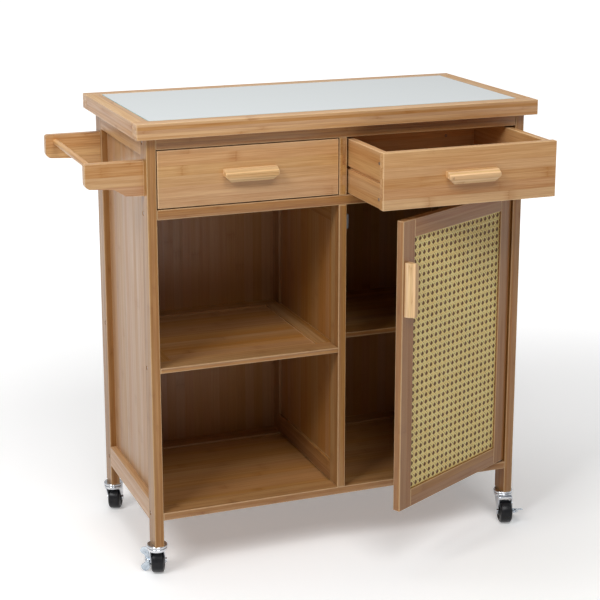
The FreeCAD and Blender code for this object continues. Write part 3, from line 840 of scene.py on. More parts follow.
@dataclass
class Boards:
    """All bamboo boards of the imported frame: which way each one's strips run."""

    groups: EffectGroups
    finish: BambooFinish = BambooFinish()
    frame_finish: BambooFinish = BambooFinish(
        pale=(0.455, 0.248, 0.094), tan=(0.26, 0.108, 0.029), amber=(0.215, 0.077, 0.015))
    door_finish: BambooFinish = BambooFinish(
        pale=(0.41, 0.205, 0.064), tan=(0.24, 0.094, 0.022), amber=(0.20, 0.068, 0.012))
    panel_finish: BambooFinish = BambooFinish(
        pale=(0.43, 0.222, 0.084), tan=(0.345, 0.160, 0.052), amber=(0.27, 0.105, 0.026))
    # side panels: a paler, greyer copy of the bamboo, a painted sheen of the white surroundings on the
    # lacquer seen at a grazing angle
    side_sheen_finish: BambooFinish = BambooFinish(
        pale=(0.53, 0.335, 0.19), tan=(0.405, 0.225, 0.112), amber=(0.335, 0.157, 0.060))
    # pulls: a paler copy of the bamboo, a painted highlight of their lit front facets
    pull_highlight_finish: BambooFinish = BambooFinish(
        pale=(0.86, 0.60, 0.34), tan=(0.50, 0.28, 0.11), amber=(0.42, 0.19, 0.06), strip=0.005)
    backing_finish: BambooFinish = BambooFinish(
        pale=(0.30, 0.135, 0.035), tan=(0.17, 0.065, 0.013), amber=(0.12, 0.045, 0.010))
    seed: float = 3.0

    def standing(self) -> dict[str, Grain]:
        """Grain of every fixed board, by node."""
        grains = {
            "worktop_base": Grain.ACROSS_FLAT, "front_rail_top": Grain.ACROSS_FLAT,
            "front_rail_middle": Grain.ACROSS_FLAT, "rear_rails": Grain.ACROSS_FLAT,
            "back_panel": Grain.STANDING_FRONT, "drawer_divider": Grain.DEEP_UPRIGHT,
            "drawer_runners": Grain.DEEP_UPRIGHT, "partition_panel": Grain.STANDING_SIDE,
            "shelf_left_panel": Grain.ACROSS_FLAT, "shelf_right": Grain.ACROSS_FLAT,
            "bottom_frame": Grain.ACROSS_FLAT, "bottom_panel": Grain.ACROSS_FLAT,
            "handle_arms": Grain.ACROSS_UPRIGHT, "handle_rod": Grain.DEEP_UPRIGHT,
        }
        for place in ("front_left", "front_right", "rear_left", "rear_right"):
            grains["leg_" + place] = Grain.STANDING_SIDE
        for side in ("left", "right"):
            grains["side_panel_" + side] = Grain.STANDING_SIDE
            grains["side_rails_" + side] = Grain.DEEP_UPRIGHT
        return grains

    def drawers(self) -> dict[str, Grain]:
        """Grain of the drawer boards, by node."""
        grains = {}
        for side in ("left", "right"):
            prefix = f"drawer_{side}_"
            grains[prefix + "front"] = Grain.ACROSS_UPRIGHT
            grains[prefix + "back"] = Grain.ACROSS_UPRIGHT
            grains[prefix + "handle"] = Grain.ACROSS_UPRIGHT
            grains[prefix + "side_left"] = Grain.DEEP_UPRIGHT
            grains[prefix + "side_right"] = Grain.DEEP_UPRIGHT
            grains[prefix + "bottom"] = Grain.ACROSS_FLAT
        return grains

    def door(self) -> dict[str, Grain]:
        """Grain of the door boards, by node, in the door's own turned frame."""
        return {
            "door_stile_hinge": Grain.STANDING_FRONT, "door_stile_latch": Grain.STANDING_FRONT,
            "door_rail_top": Grain.ACROSS_UPRIGHT, "door_rail_bottom": Grain.ACROSS_UPRIGHT,
            "door_backing": Grain.STANDING_FRONT, "door_handle": Grain.STANDING_FRONT,
        }

    def framed(self) -> dict[str, tuple[Grain, EndBoards]]:
        """Nodes that hold boards of two directions: the middle ones' grain and the end ones."""
        base_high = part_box("worktop_base")[1]
        shelf_low, shelf_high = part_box("shelf_left_panel")
        return {
            "worktop_frame": (Grain.DEEP_FLAT, EndBoards(Grain.ACROSS_FLAT, "Y", base_high.y)),
            "partition_frame": (Grain.DEEP_UPRIGHT, EndBoards(Grain.STANDING_SIDE, "Y", shelf_high.y)),
            "shelf_left_frame": (Grain.DEEP_FLAT, EndBoards(
                Grain.ACROSS_FLAT, "Y", (shelf_high.y - shelf_low.y) / 2, (shelf_high.y + shelf_low.y) / 2)),
        }

    def finish_of(self, node: str) -> BambooFinish:
        """Choose a node's finish: pulls are palest, as a painted highlight; side panels take a greyer copy as
        painted sheen; thin panels are the most even.

        Args:
            node: the node's name.

        Returns:
            The finish.
        """
        if node == "door_backing":
            return self.backing_finish
        # side panels get the copy with the painted sheen
        if node.startswith("side_panel"):
            return self.side_sheen_finish
        # pulls get the paler copy with the painted highlight
        if node in ("drawer_left_handle", "drawer_right_handle", "door_handle"):
            return self.pull_highlight_finish
        if node.endswith("_panel"):
            return self.panel_finish
        if node.startswith(("drawer_left", "drawer_right", "worktop", "handle", "side_rails")):
            return self.finish
        return self.door_finish if node.startswith("door") else self.frame_finish

    def dress(self, node: str, grain: Grain, turn: float = 0.0, ends: EndBoards | None = None) -> None:
        """Finish one node with strips that run its way.

        Args:
            node: the node's name.
            grain: which way its strips run.
            turn: how far it is turned about the upright axis, in radians.
            ends: the boards at its ends that run another way, if any.
        """
        low, high = map(Vector, turned_back(node, turn))
        self.seed += 1.0
        finish = self.finish_of(node)
        paint(node, finish.material(self.groups, "bamboo_" + node, low, high, grain, self.seed, turn, ends))

    def build(self) -> None:
        """Finish every bamboo board."""
        for node, grain in (self.standing() | self.drawers()).items():
            self.dress(node, grain)
        for node, (grain, ends) in self.framed().items():
            self.dress(node, grain, ends=ends)
        for node, grain in self.door().items():
            self.dress(node, grain, door_turn())


# ---------------------------------------------------------------------------- cane door


@dataclass
class CaneDoor:
    """Woven cane in the door: pairs of upright and level strands, and single slanting ones."""

    columns: int = 20
    rows: int = 35
    pair_gap: float = 1.65 * MM
    half_width: float = 1.42 * MM
    half_thickness: float = 0.28 * MM
    pair_swing: float = 0.34 * MM
    slant_swing: float = 0.62 * MM
    steps: int = 8
    seed: int = 11

    def __post_init__(self) -> None:
        """Find the panel in the door's own frame: x along the door, z up, y through it."""
        self.turn = door_turn()
        self.low, self.high = turned_back("door_cane", self.turn)
        self.pitch_x = (self.high[0] - self.low[0]) / self.columns
        self.pitch_z = (self.high[2] - self.low[2]) / self.rows

    def ribbons(self, x: np.ndarray, z: np.ndarray, lift: np.ndarray) -> np.ndarray:
        """Carry a lens-shaped section along each strand.

        The section's four points are its two thin edges and its two crowned faces; the edges
        stand half a width to either side of the line, square to its direction.

        Args:
            x: strands by steps, along the door.
            z: strands by steps, upward.
            lift: strands by steps, out of the door.

        Returns:
            Points, strands by steps by 4 by 3, in the door's frame.
        """
        run_x = np.gradient(x, axis=1)
        run_z = np.gradient(z, axis=1)
        length = np.hypot(run_x, run_z)
        side = np.stack([-run_z / length, np.zeros_like(x), run_x / length], axis=-1) * self.half_width
        out = np.array([0.0, -1.0, 0.0]) * self.half_thickness
        middle_y = (self.low[1] + self.high[1]) / 2
        line = np.stack([x, middle_y - lift, z], axis=-1)
        return np.stack([line + side, line + out, line - side, line - out], axis=2)

    def weave(self, name: str, points: np.ndarray, tones: np.ndarray) -> PieceObject:
        """Make one family of strands, closed at both ends, with its UV map and tones.

        The map runs in centimetres along a strand and in shares across it.

        Args:
            name: the piece's name.
            points: strands by steps by section points by 3, in the door's frame.
            tones: one number a strand.

        Returns:
            The piece, linked to the scene.
        """
        strands, steps, section, _ = points.shape
        forward = np.array(Matrix.Rotation(self.turn, 3, "Z"))
        starts = np.arange(strands)[:, None] * steps * section
        ring = np.arange(section)[None]
        faces = np.concatenate([sheet_faces(steps, section, strands, False, True),
                                starts + ring[:, ::-1], starts + (steps - 1) * section + ring])
        mesh = bpy.data.meshes.new(name)
        mesh.from_pydata((points.reshape(-1, 3) @ forward.T).tolist(), [], faces.tolist())
        along = np.linalg.norm(np.diff(points[:, :, 0], axis=1), axis=2).cumsum(axis=1)
        along = np.concatenate([np.zeros((strands, 1)), along], axis=1) * CENTIMETRES
        u = np.repeat(along[:, :, None], section, axis=2).reshape(-1)
        v = np.broadcast_to(np.array([0.0, 0.5, 1.0, 0.5]), (strands, steps, section)).reshape(-1)
        layer = mesh.uv_layers.new(name="strands")
        corners = faces.reshape(-1)
        places = np.stack([u[corners], v[corners]], axis=-1).reshape(-1)
        layer.data.foreach_set("uv", places.astype(np.float32))
        attribute = mesh.attributes.new("strand_tone", "FLOAT", "POINT")
        attribute.data.foreach_set("value", np.repeat(tones, steps * section).astype(np.float32))
        mesh.polygons.foreach_set("use_smooth", np.full(len(faces), True))
        mesh.update()
        piece = bpy.data.objects.new(name, mesh)
        bpy.context.scene.collection.objects.link(piece)
        return piece

    def upright(self) -> tuple[np.ndarray, np.ndarray, np.ndarray]:
        """Two strands a column line; they cross the level ones as plus and minus sin(2 pi z / pitch).

        Returns:
            The strands' x, z and lift, each strands by steps.
        """
        lines = self.low[0] + self.pitch_x * np.arange(self.columns + 1)
        x0 = np.concatenate([lines - self.pair_gap, lines + self.pair_gap])
        sign = np.repeat([1.0, -1.0], self.columns + 1)
        keep = (x0 > self.low[0]) & (x0 < self.high[0])
        x0, sign = x0[keep], sign[keep]
        z = np.linspace(self.low[2], self.high[2], self.rows * self.steps + 1)
        wave = np.sin(ONE_TURN * (z - self.low[2]) / self.pitch_z)
        shape = (len(x0), len(z))
        return (np.broadcast_to(x0[:, None], shape), np.broadcast_to(z, shape),
                self.pair_swing * sign[:, None] * wave[None])

    def level(self) -> tuple[np.ndarray, np.ndarray, np.ndarray]:
        """Two strands a row line; they cross the upright ones as minus and plus sin(2 pi x / pitch).

        Returns:
            The strands' x, z and lift, each strands by steps.
        """
        lines = self.low[2] + self.pitch_z * np.arange(self.rows + 1)
        z0 = np.concatenate([lines + self.pair_gap, lines - self.pair_gap])
        sign = np.repeat([1.0, -1.0], self.rows + 1)
        keep = (z0 > self.low[2]) & (z0 < self.high[2])
        z0, sign = z0[keep], sign[keep]
        x = np.linspace(self.low[0], self.high[0], self.columns * self.steps + 1)
        wave = np.sin(ONE_TURN * (x - self.low[0]) / self.pitch_x)
        shape = (len(z0), len(x))
        return (np.broadcast_to(x, shape), np.broadcast_to(z0[:, None], shape),
                self.pair_swing * sign[:, None] * wave[None])

    def slanting(self, rise: int) -> list[tuple[np.ndarray, np.ndarray, np.ndarray]]:
        """Single strands that climb one row a column, half a row off the crossings.

        z = start + rise * x * (row pitch / column pitch); the lift is rise * cos(2 pi x / pitch),
        so the two families pass over and under at each of their crossings.

        Args:
            rise: 1 for strands that climb to the right, -1 for those that fall.

        Returns:
            The strands, grouped by length so that each group is one array.
        """
        by_span: dict[tuple[int, int], list[float]] = {}
        for start in np.arange(-self.columns, self.rows + self.columns) + 0.5:
            columns = np.arange(self.columns * 2 + 1) / 2
            heights = start + rise * columns
            inside = np.flatnonzero((heights >= 0) & (heights <= self.rows))
            if len(inside) > 2:
                by_span.setdefault((int(inside[0]), int(inside[-1])), []).append(start)
        strands = []
        for (first, last), starts in by_span.items():
            column = np.linspace(first / 2, last / 2, (last - first) * self.steps // 2 + 1)
            x = np.broadcast_to(self.low[0] + self.pitch_x * column, (len(starts), len(column)))
            rows = np.array(starts)[:, None] + rise * column[None]
            lift = rise * self.slant_swing * np.cos(ONE_TURN * column)
            strands.append((x, self.low[2] + self.pitch_z * rows, np.broadcast_to(lift, x.shape)))
        return strands

    def build(self) -> None:
        """Weave the panel: upright, level, rising and falling strands."""
        cane = CaneFinish().material("cane_strands")
        random = np.random.default_rng(self.seed)
        pieces = []
        for name, lines in (("cane_uprights", self.upright()), ("cane_levels", self.level())):
            points = self.ribbons(*lines)
            pieces.append(self.weave(name, points, random.random(len(points))))
        for name, rise in (("cane_rising", 1), ("cane_falling", -1)):
            parts = []
            for number, lines in enumerate(self.slanting(rise)):
                points = self.ribbons(*lines)
                parts.append(self.weave(f"{name}_{number}", points, random.random(len(points))))
            pieces.append(joined(name, parts))
        for piece in pieces:
            give(piece, cane, "door")
        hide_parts("door_cane")


def joined(name: str, parts: list[PieceObject]) -> PieceObject:
    """Join several objects into one, keeping their UV maps and attributes.

    Args:
        name: the joined object's name.
        parts: the objects.

    Returns:
        The joined object.
    """
    bpy.ops.object.select_all(action="DESELECT")
    for part in parts:
        part.select_set(True)
    bpy.context.view_layer.objects.active = parts[0]
    if len(parts) > 1:
        bpy.ops.object.join()
    parts[0].name = name
    parts[0].data.name = name
    return parts[0]


# ---------------------------------------------------------------------------- casters


@dataclass
class Casters:
    """Wheels with dished hubs, stamped brake wings, and bright rims on the swivel crowns."""

    groups: EffectGroups
    wheel_radius: float = 25 * MM
    wheel_half: float = 13 * MM
    hub_radius: float = 9 * MM
    bore: float = 3.05 * MM
    places: tuple[str, ...] = ("front_left", "front_right", "rear_left", "rear_right")
    wing_turns: tuple[float, float] = (0.0, 60.0)
    shoulder: float = 6.0 * MM
    tread_crown: float = 60.0 * MM
    web_depth: float = 2.8 * MM
    upper_lobe: tuple[float, float] = (26.6 * MM, 20.5 * MM)
    lower_lobe: tuple[float, float] = (25.6 * MM, -12.8 * MM)
    lobe_radius: float = 9.6 * MM
    neck_way: float = 20.4 * MM
    neck_heights: tuple[float, float] = (-2.0 * MM, 4.0 * MM)
    neck_half: float = 4.6 * MM
    dish_depth: float = 1.6 * MM
    scallop: float = 1.1 * MM
    wing_rows: int = 61
    wing_columns: int = 17
    plate: float = 1.7 * MM
    plate_ease: float = 0.5 * MM
    hub_start: float = 16.3 * MM
    hub_end: float = 24.4 * MM
    hub_outer: float = 5.2 * MM
    rim_radius: float = 20.4 * MM
    rim_tube: float = 0.9 * MM
    rim_height: float = 67.4 * MM

    def local_frame(self, place: str) -> Matrix:
        """From caster space (y along the axle, z up, origin on the axle) to the cart.

        Args:
            place: which caster.

        Returns:
            The matrix that takes a point there.
        """
        roll = joint_of("wheel_" + place)
        axle = Vector(roll["axis"]).normalized()
        trail = axle.cross(Vector((0, 0, 1)))
        frame_of = Matrix((trail, axle, Vector((0, 0, 1)))).transposed().to_4x4()
        frame_of.translation = Vector(roll["pos_m"])
        return frame_of

    def placed(self, points: np.ndarray, place: str) -> np.ndarray:
        """Move points from caster space to their place on the cart.

        Args:
            points: points in caster space, three numbers a row.
            place: which caster.

        Returns:
            The points, in the same arrangement.
        """
        matrix = np.array(self.local_frame(place))
        return points @ matrix[:3, :3].T + matrix[:3, 3]

    def wheel_profile(self) -> np.ndarray:
        """Outline of a wheel: bore, hub boss, dished web, shoulder, round tread, and back again.

        Returns:
            Points (y, radius), one a row.
        """
        half, radius, hub = self.wheel_half, self.wheel_radius, self.hub_radius
        right = np.concatenate([
            np.array([[half, self.bore], [half, hub - 1 * MM], [half - 0.6 * MM, hub]]),
            np.array([[half - 2.6 * MM, hub + 1.0 * MM], [half - self.web_depth, radius - 9 * MM]]),
            np.array([[half - 0.9 * MM, radius - 7.6 * MM], [half - 0.3 * MM, radius - 6.6 * MM]]),
            arc((half - self.shoulder, radius - self.shoulder), self.shoulder, 0, 72, 7),
        ])
        crown = arc((0.0, radius - self.tread_crown), self.tread_crown, 83.5, 96.5, 9)
        left = right[::-1] * np.array([-1.0, 1.0])
        return np.concatenate([right, crown, left])

    def wheel(self, place: str, rubber: Material) -> None:
        """One wheel in place of its plain solid.

        Args:
            place: which caster.
            rubber: the wheel's finish.
        """
        grid = self.placed(turned(self.wheel_profile(), 64), place)
        faces = sheet_faces(grid.shape[0], grid.shape[1], 1, True, True)
        piece = build_mesh(f"wheel_{place}_tyre", grid, faces)
        give(piece, rubber, "wheel_" + place)
        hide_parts(f"caster_{place}_wheel")

    def wing_grid(self) -> np.ndarray:
        """Face of a wing: z runs from its lower tip to its upper tip, s from edge to edge.

        The half width is that of two round lobes, sqrt(r^2 - (z - centre)^2), and of a neck
        between them, whichever is more; each lobe is dished, and the lower edge is scalloped.

        Returns:
            Points, rows by columns by 3, with x through the plate.
        """
        (upper_way, upper), (lower_way, lower), radius = self.upper_lobe, self.lower_lobe, self.lobe_radius
        height = np.linspace(lower - radius, upper + radius, self.wing_rows)
        low_lobe = np.sqrt(np.clip(radius**2 - (height - lower) ** 2, 0, None))
        high_lobe = np.sqrt(np.clip(radius**2 - (height - upper) ** 2, 0, None))
        between = (height > lower) & (height < upper)
        neck = np.where(between, self.neck_half, 0.0)
        half = np.maximum(np.maximum(low_lobe, high_lobe), neck)
        ways = [lower_way, self.neck_way, self.neck_way, upper_way]
        centre = np.interp(height, [lower, *self.neck_heights, upper], ways)
        s = np.linspace(-1, 1, self.wing_columns)
        y = centre[:, None] + half[:, None] * s[None]
        lobes = np.maximum(low_lobe, high_lobe)[:, None] / radius
        dish = self.dish_depth * lobes * (s[None] ** 2 - 0.4)
        tip = np.clip((lower - height) / radius, 0, 1)[:, None]
        z = height[:, None] + tip * self.scallop * np.cos(3 * np.pi * s[None])
        return np.stack([np.broadcast_to(dish, y.shape), y, z], axis=-1)

    def wing(self, place: str, turn: float, zinc: Material) -> None:
        """One stamped brake wing and its hub.

        Args:
            place: which caster.
            turn: how far the wing leans about the axle at rest, in degrees, as its solid does.
            zinc: its finish.
        """
        grid = self.wing_grid()
        tilt = np.array(Matrix.Rotation(math.radians(turn), 3, "Y"))
        blade = build_mesh(f"brake_blade_{place}", self.placed(grid.reshape(-1, 3) @ tilt.T, place),
                           sheet_faces(self.wing_rows, self.wing_columns, 1, False, False))
        wall = blade.modifiers.new("wall", "SOLIDIFY")
        wall.thickness = self.plate
        wall.offset = 0.0
        softened = blade.modifiers.new("softened", "BEVEL")
        softened.width = self.plate_ease
        softened.segments = 2
        softened.limit_method = "ANGLE"
        give(blade, zinc, "brake_" + place)
        start, end, outer = self.hub_start, self.hub_end, self.hub_outer
        profile = np.concatenate([
            np.array([[start, self.bore], [start, outer - 0.6 * MM], [start + 0.6 * MM, outer]]),
            np.array([[end - 1.2 * MM, outer], [end - 0.3 * MM, outer - 0.9 * MM], [end, self.bore]]),
        ])
        grid = self.placed(turned(profile, 32), place)
        hub = build_mesh(f"brake_hub_{place}", grid, sheet_faces(grid.shape[0], 32, 1, True, True))
        give(hub, zinc, "brake_" + place)
        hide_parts(f"brake_wing_{place}")

    def crown_rim(self, place: str, chrome: Material) -> None:
        """Rolled rim round the fixed race: a torus whose tube follows the race's edge.

        With R and r the ring's and the tube's radius, a point at (t, p) lies R + r cos p from
        the swivel axis, in direction t, and r sin p above the ring.

        Args:
            place: which caster.
            chrome: its finish.
        """
        swivel = joint_of("caster_" + place)["pos_m"]
        ring, tube = self.rim_radius, self.rim_tube
        t = ring_angles(64)[:, None]
        p = ring_angles(10)[None]
        x = swivel[0] + (ring + tube * np.cos(p)) * np.cos(t)
        y = swivel[1] + (ring + tube * np.cos(p)) * np.sin(t)
        z = np.broadcast_to(self.rim_height + tube * np.sin(p), x.shape)
        faces = sheet_faces(*x.shape, 1, True, True)
        piece = build_mesh(f"crown_rim_{place}", np.stack([x, y, z], axis=-1), faces)
        give(piece, chrome, "root")

    def build(self) -> None:
        """Finish the forks and stems and make the wheels, wings and rims."""
        chrome = CHROME.material(self.groups, "chrome_plate")
        zinc = ZINC.material(self.groups, "bright_zinc")
        rubber = RUBBER.material(self.groups, "wheel_rubber")
        paint("caster_stems", chrome)
        for place in self.places:
            paint(f"caster_{place}_fork", chrome)
            self.wheel(place, rubber)
            self.crown_rim(place, chrome)
        for place, turn in zip(self.places, self.wing_turns):
            self.wing(place, turn, zinc)


# ---------------------------------------------------------------------------- small hardware


@dataclass
class Hardware:
    """Bolt heads, drawer screws, the strike plate, pins, bushes and the magnet catch."""

    groups: EffectGroups
    head_radius: float = 4.3 * MM
    head_height: float = 2.2 * MM
    socket_radius: float = 2.3 * MM
    screw_scale: float = 0.72
    head_points: int = 36
    head_rings: int = 9
    bolt_levels: tuple[float, ...] = (0.134, 0.4407, 0.753, 0.8915)
    bolt_depth: float = 0.164
    sunk: float = 0.9 * MM
    catch_gap: float = 2.0 * MM
    plate_shift: float = 7.0 * MM
    plate_half_x: float = 9.0 * MM
    plate_half_z: float = 17.0 * MM
    plate_proud: float = 1.2 * MM
    plug_radius: float = 2.9 * MM
    plug_way: float = 7.0 * MM
    plug_height: float = 12.4 * MM
    plug_seed: float = 90.0

    def head_grid(self, axis: Vector, centre: Vector, scale: float = 1.0) -> np.ndarray:
        """Domed head with a six-sided socket.

        Rings run from the rim over the dome to the socket and its floor; the socket's radius
        at angle t is that of a hexagon, r cos(30) / cos(t mod 60 - 30).

        Args:
            axis: the way the head faces.
            centre: the middle of its underside.
            scale: size beside that of the frame's bolts.

        Returns:
            Points, rings by points round them by 3.
        """
        t = ring_angles(self.head_points)
        hexagon = math.cos(math.pi / 6) / np.cos(np.mod(t, math.pi / 3) - math.pi / 6)
        full = np.ones_like(t)
        r, h, s = (scale * size for size in (self.head_radius, self.head_height, self.socket_radius))
        rings = [(0 * t, 0.0), (r * full, 0.0), (r * full, 0.55 * h), (0.93 * r * full, 0.8 * h),
                 (0.78 * r * full, 0.95 * h), (0.66 * r * full, h), (s * hexagon, h),
                 (s * hexagon, 0.35 * h), (0 * t, 0.3 * h)]
        side = axis.orthogonal().normalized()
        other = axis.cross(side)
        radius = np.array([ring for ring, _ in rings])[..., None]
        lift = np.array([height for _, height in rings])[:, None, None]
        across = np.cos(t)[None, :, None] * np.array(side) + np.sin(t)[None, :, None] * np.array(other)
        return np.array(centre) + radius * across + lift * np.array(axis)

    def bolts(self, steel: Material) -> None:
        """Every bolt head in the legs' outer faces, as one piece.

        The right front leg has none at the middle shelf, which stops short of it.

        Args:
            steel: their finish.
        """
        low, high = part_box("frame_bolts")
        heads = []
        for side, face in ((-1, low.x), (1, high.x)):
            for depth in (-self.bolt_depth, self.bolt_depth):
                for level in self.bolt_levels:
                    if side > 0 and depth < 0 and level == self.bolt_levels[1]:
                        continue
                    centre = Vector((face - side * self.head_height, depth, level))
                    heads.append(self.head_grid(Vector((side, 0, 0)), centre))
        points = np.stack(heads)
        piece = build_mesh("bolt_heads", points, self.head_faces(len(heads)))
        give(piece, steel, "root")
        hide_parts("frame_bolts")

    def head_faces(self, count: int) -> np.ndarray:
        """Faces of so many heads, one grid after another."""
        return sheet_faces(self.head_rings, self.head_points, count, False, True)

    def heads(self, name: str, spots: list[tuple[Vector, Vector]], steel: Material, body: str) -> None:
        """Make small screw heads as one piece.

        Args:
            name: the piece's name.
            spots: which way each head faces, and where it sits.
            steel: their finish.
            body: the body that they move with.
        """
        points = np.stack([self.head_grid(axis, centre, self.screw_scale) for axis, centre in spots])
        piece = build_mesh(name, points, self.head_faces(len(spots)))
        give(piece, steel, body)

    def drawer_screws(self, steel: Material) -> None:
        """Two heads near the front of each drawer side, and one inside each drawer's back.

        Args:
            steel: their finish.
        """
        for side in ("left", "right"):
            spots = []
            for board, way in ((f"drawer_{side}_side_left", -1), (f"drawer_{side}_side_right", 1)):
                low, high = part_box(board)
                face = low.x if way < 0 else high.x
                for level in (low.z + 18 * MM, high.z - 22 * MM):
                    spot = Vector((face - way * self.sunk, low.y + 8 * MM, level))
                    spots.append((Vector((way, 0, 0)), spot))
            low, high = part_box(f"drawer_{side}_back")
            middle = low.x + 0.8 * (high.x - low.x)
            spots.append((Vector((0, -1, 0)), Vector((middle, low.y + self.sunk, high.z - 36 * MM))))
            self.heads(f"drawer_{side}_screws", spots, steel, "drawer_" + side)

    def back_screws(self, steel: Material) -> None:
        """Heads round the edge of the back panel.

        Args:
            steel: their finish.
        """
        low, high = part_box("back_panel")
        inset = 9 * MM
        columns = np.linspace(low.x + 30 * MM, high.x - 30 * MM, 6)
        rows = np.linspace(low.z, high.z, 6)[1:-1]
        places = [(x, z) for x in columns for z in (low.z + inset, high.z - inset)]
        places += [(x, z) for x in (low.x + inset, high.x - inset) for z in rows]
        spots = [(Vector((0, 1, 0)), Vector((x, high.y - self.sunk, z))) for x, z in places]
        self.heads("back_screws", spots, steel, "root")

    def strike_plate(self, steel: Material) -> None:
        """Steel plate on the door's back that meets the magnet: a soft-cornered, slightly crowned sheet.

        Its outline is a superellipse, |x/a|^6 + |z/b|^6 = 1, and rings shrink toward the middle.

        Args:
            steel: its finish.
        """
        turn = Matrix.Rotation(door_turn(), 3, "Z")
        pivot = Vector(joint_of("door")["pos_m"])
        catch_low, catch_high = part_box("magnet_catch")
        t = ring_angles(48)
        wide = np.abs(np.cos(t)) ** (1 / 3) * np.sign(np.cos(t)) * self.plate_half_x
        tall = np.abs(np.sin(t)) ** (1 / 3) * np.sign(np.sin(t)) * self.plate_half_z
        share = np.array([0.0, 1.0, 1.0, 0.94, 0.5, 0.0])[:, None]
        out = np.array([0.0, 0.0, 0.6, 1.0, 1.1, 1.1])[:, None] * self.plate_proud
        middle = Vector(((catch_low.x + catch_high.x) / 2 + self.plate_shift, catch_low.y - self.catch_gap,
                         (catch_low.z + catch_high.z) / 2))
        x, z = middle.x + share * wide, middle.z + share * tall
        grid = np.stack([x, middle.y + np.broadcast_to(out, x.shape), z], axis=-1)
        centre = np.array([pivot.x, pivot.y, 0.0])
        grid = (grid - centre) @ np.array(turn).T + centre
        piece = build_mesh("strike_plate", grid, sheet_faces(*x.shape, 1, False, True))
        give(piece, steel, "door")

    def pull_plug(self, wood: Material) -> None:
        """Round wooden plug near one end of the right drawer's pull: a low dome with a ring groove.

        Args:
            wood: its finish.
        """
        low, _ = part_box("drawer_right_handle")
        radius = np.array([0.0, 1.0, 1.0, 0.9, 0.74, 0.66, 0.58, 0.3, 0.0])[:, None] * self.plug_radius
        out = np.array([-0.4, -0.4, 0.25, 0.4, 0.4, 0.05, 0.4, 0.5, 0.5])[:, None] * MM
        t = ring_angles(32)[None]
        x, z = low.x + self.plug_way, low.z + self.plug_height
        grid = np.stack([x + radius * np.cos(t), low.y - out + 0 * t, z + radius * np.sin(t)], axis=-1)
        piece = build_mesh("pull_plug", grid, sheet_faces(9, 32, 1, False, True))
        give(piece, wood, "drawer_right")

    def build(self) -> None:
        """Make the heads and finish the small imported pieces."""
        steel = STEEL.material(self.groups, "steel_fastener")
        self.bolts(steel)
        self.drawer_screws(DARK_STEEL.material(self.groups, "dark_screw"))
        self.back_screws(steel)
        self.strike_plate(steel)
        low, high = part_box("drawer_right_handle")
        self.pull_plug(PLUG_WOOD.material(self.groups, "bamboo_pull_plug", low, high,
                                          Grain.STANDING_FRONT, self.plug_seed))
        paint("door_pivot_pins", steel)
        paint("door_pivot_bushes", NYLON.material(self.groups, "nylon_bush"))
        paint("magnet_catch", CATCH_GREY.material(self.groups, "grey_catch"))


@dataclass
class Worktop:
    """The glass pane set flush in its bamboo border."""

    groups: EffectGroups

    def build(self) -> None:
        """Finish the glass."""
        low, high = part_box("worktop_glass")
        paint("worktop_glass", GlassFinish().material(self.groups, "white_glass", low, high))


# ---------------------------------------------------------------------------- stage


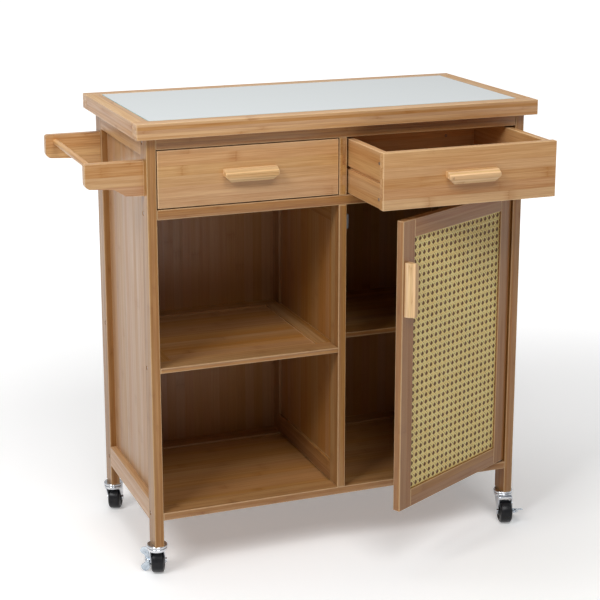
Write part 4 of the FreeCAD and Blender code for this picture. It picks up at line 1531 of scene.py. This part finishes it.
@dataclass
class Studio:
    """Pale floor, soft lamps and the camera."""

    eye: tuple[float, float, float] = (-1.192, -3.043, 1.437)
    heading: float = 21.12
    pitch: float = -13.93
    lens: float = 95.16
    shift: float = -0.1
    seen_white: float = 1.0
    mirrored_white: float = 0.5
    ambient: float = 0.08
    sensor: float = 36.0
    far_clip: float = 60.0
    floor_near: float = 0.5
    floor_far: float = 3.0
    floor_glow: tuple[float, float] = (0.28, 1.0)

    def camera(self) -> None:
        """Camera at the front left, a little above the worktop."""
        data = bpy.data.cameras.new("view")
        data.lens = self.lens
        data.sensor_width = self.sensor
        data.shift_y = self.shift
        data.clip_end = self.far_clip
        camera = bpy.data.objects.new("view", data)
        camera.location = self.eye
        camera.rotation_euler = (math.radians(90 + self.pitch), 0.0, -math.radians(self.heading))
        bpy.context.scene.collection.objects.link(camera)
        bpy.context.scene.camera = camera

    def lamp(self, name: str, place: tuple[float, float, float], aim: tuple[float, float, float],
             size: float, power: float) -> None:
        """Square soft white lamp.

        Args:
            name: the lamp's name.
            place: where it stands.
            aim: the point that it faces.
            size: its side, in metres.
            power: its power, in watts.
        """
        data = bpy.data.lights.new(name, "AREA")
        data.shape = "SQUARE"
        data.size = size
        data.energy = power
        light = bpy.data.objects.new(name, data)
        light.location = place
        light.rotation_euler = (Vector(aim) - Vector(place)).to_track_quat("-Z", "Y").to_euler()
        bpy.context.scene.collection.objects.link(light)

    def floor(self) -> None:
        """Round pale floor: rings of radius r at height zero, glowing more away from the cart."""
        radius = np.array([0.0, 2.0, 8.0, 30.0])[:, None]
        t = ring_angles(48)[None]
        x, y = radius * np.cos(t), radius * np.sin(t)
        grid = np.stack([x, y, np.zeros_like(x)], axis=-1)
        piece = build_mesh("floor", grid, sheet_faces(*x.shape, 1, False, True))
        material, graph, surface = blank_material("pale_floor")
        position = graph.add("TexCoord").outputs["Object"]
        tone = graph.noise(position, 0.8, 2.0)
        graph.feed(surface.inputs["Base Color"], graph.tint(tone, (0.90, 0.90, 0.90), (0.93, 0.93, 0.93)))
        surface.inputs["Roughness"].default_value = 0.75
        distance = graph.add("VectorMath", operation="LENGTH")
        graph.feed(distance.inputs[0], position)
        far = graph.fade(distance.outputs["Value"], self.floor_near, self.floor_far, *self.floor_glow)
        bounced = graph.add("LightPath").outputs["Is Diffuse Ray"]
        graph.feed(surface.inputs["Emission Color"], graph.tint(bounced, (1.0, 1.0, 1.0), (0.0, 0.0, 0.0)))
        graph.feed(surface.inputs["Emission Strength"], far)
        piece.data.materials.append(material)

    def sky(self) -> None:
        """White surroundings, dimmer as light than they look, so that the bays stay deep."""
        world = bpy.data.worlds.new("studio")
        world.use_nodes = True
        graph = Graph(world.node_tree)
        background = world.node_tree.nodes["Background"]
        background.inputs["Color"].default_value = (1.0, 1.0, 1.0, 1.0)
        path = graph.add("LightPath")
        seen = graph.choose(path.outputs["Is Camera Ray"], self.mirrored_white, self.seen_white)
        strength = graph.choose(path.outputs["Is Diffuse Ray"], seen, self.ambient)
        graph.feed(background.inputs["Strength"], strength)
        bpy.context.scene.world = world

    def build(self) -> None:
        """Set up the world, the lamps, the floor and the camera."""
        self.sky()
        self.lamp("key_left", (-2.7, -1.7, 3.1), (0, 0, 0.5), 1.4, 78)
        self.lamp("front_high", (-0.3, -2.7, 3.4), (0, 0, 0.5), 1.6, 56)
        self.lamp("overhead", (-0.3, 0.3, 3.2), (0, 0, 0.9), 1.6, 30)
        self.floor()
        self.camera()
        bpy.context.scene.view_settings.view_transform = "Standard"


# ---------------------------------------------------------------------------- the cart


def corners(bounds: tuple[Vector, Vector]) -> list[list[float]]:
    """A box's two corners as plain lists of numbers."""
    return [[float(value) for value in corner] for corner in bounds]


def main() -> None:
    """Dress the frame, add the fine pieces and set the stage."""
    logging.basicConfig(level=logging.INFO, format="%(name)s: %(message)s")
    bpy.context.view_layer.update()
    groups = EffectGroups()
    for section in (Boards(groups), CaneDoor(), Casters(groups), Hardware(groups), Worktop(groups)):
        section.build()
    Studio().build()
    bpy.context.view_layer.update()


if __name__ == "__main__":
    main()
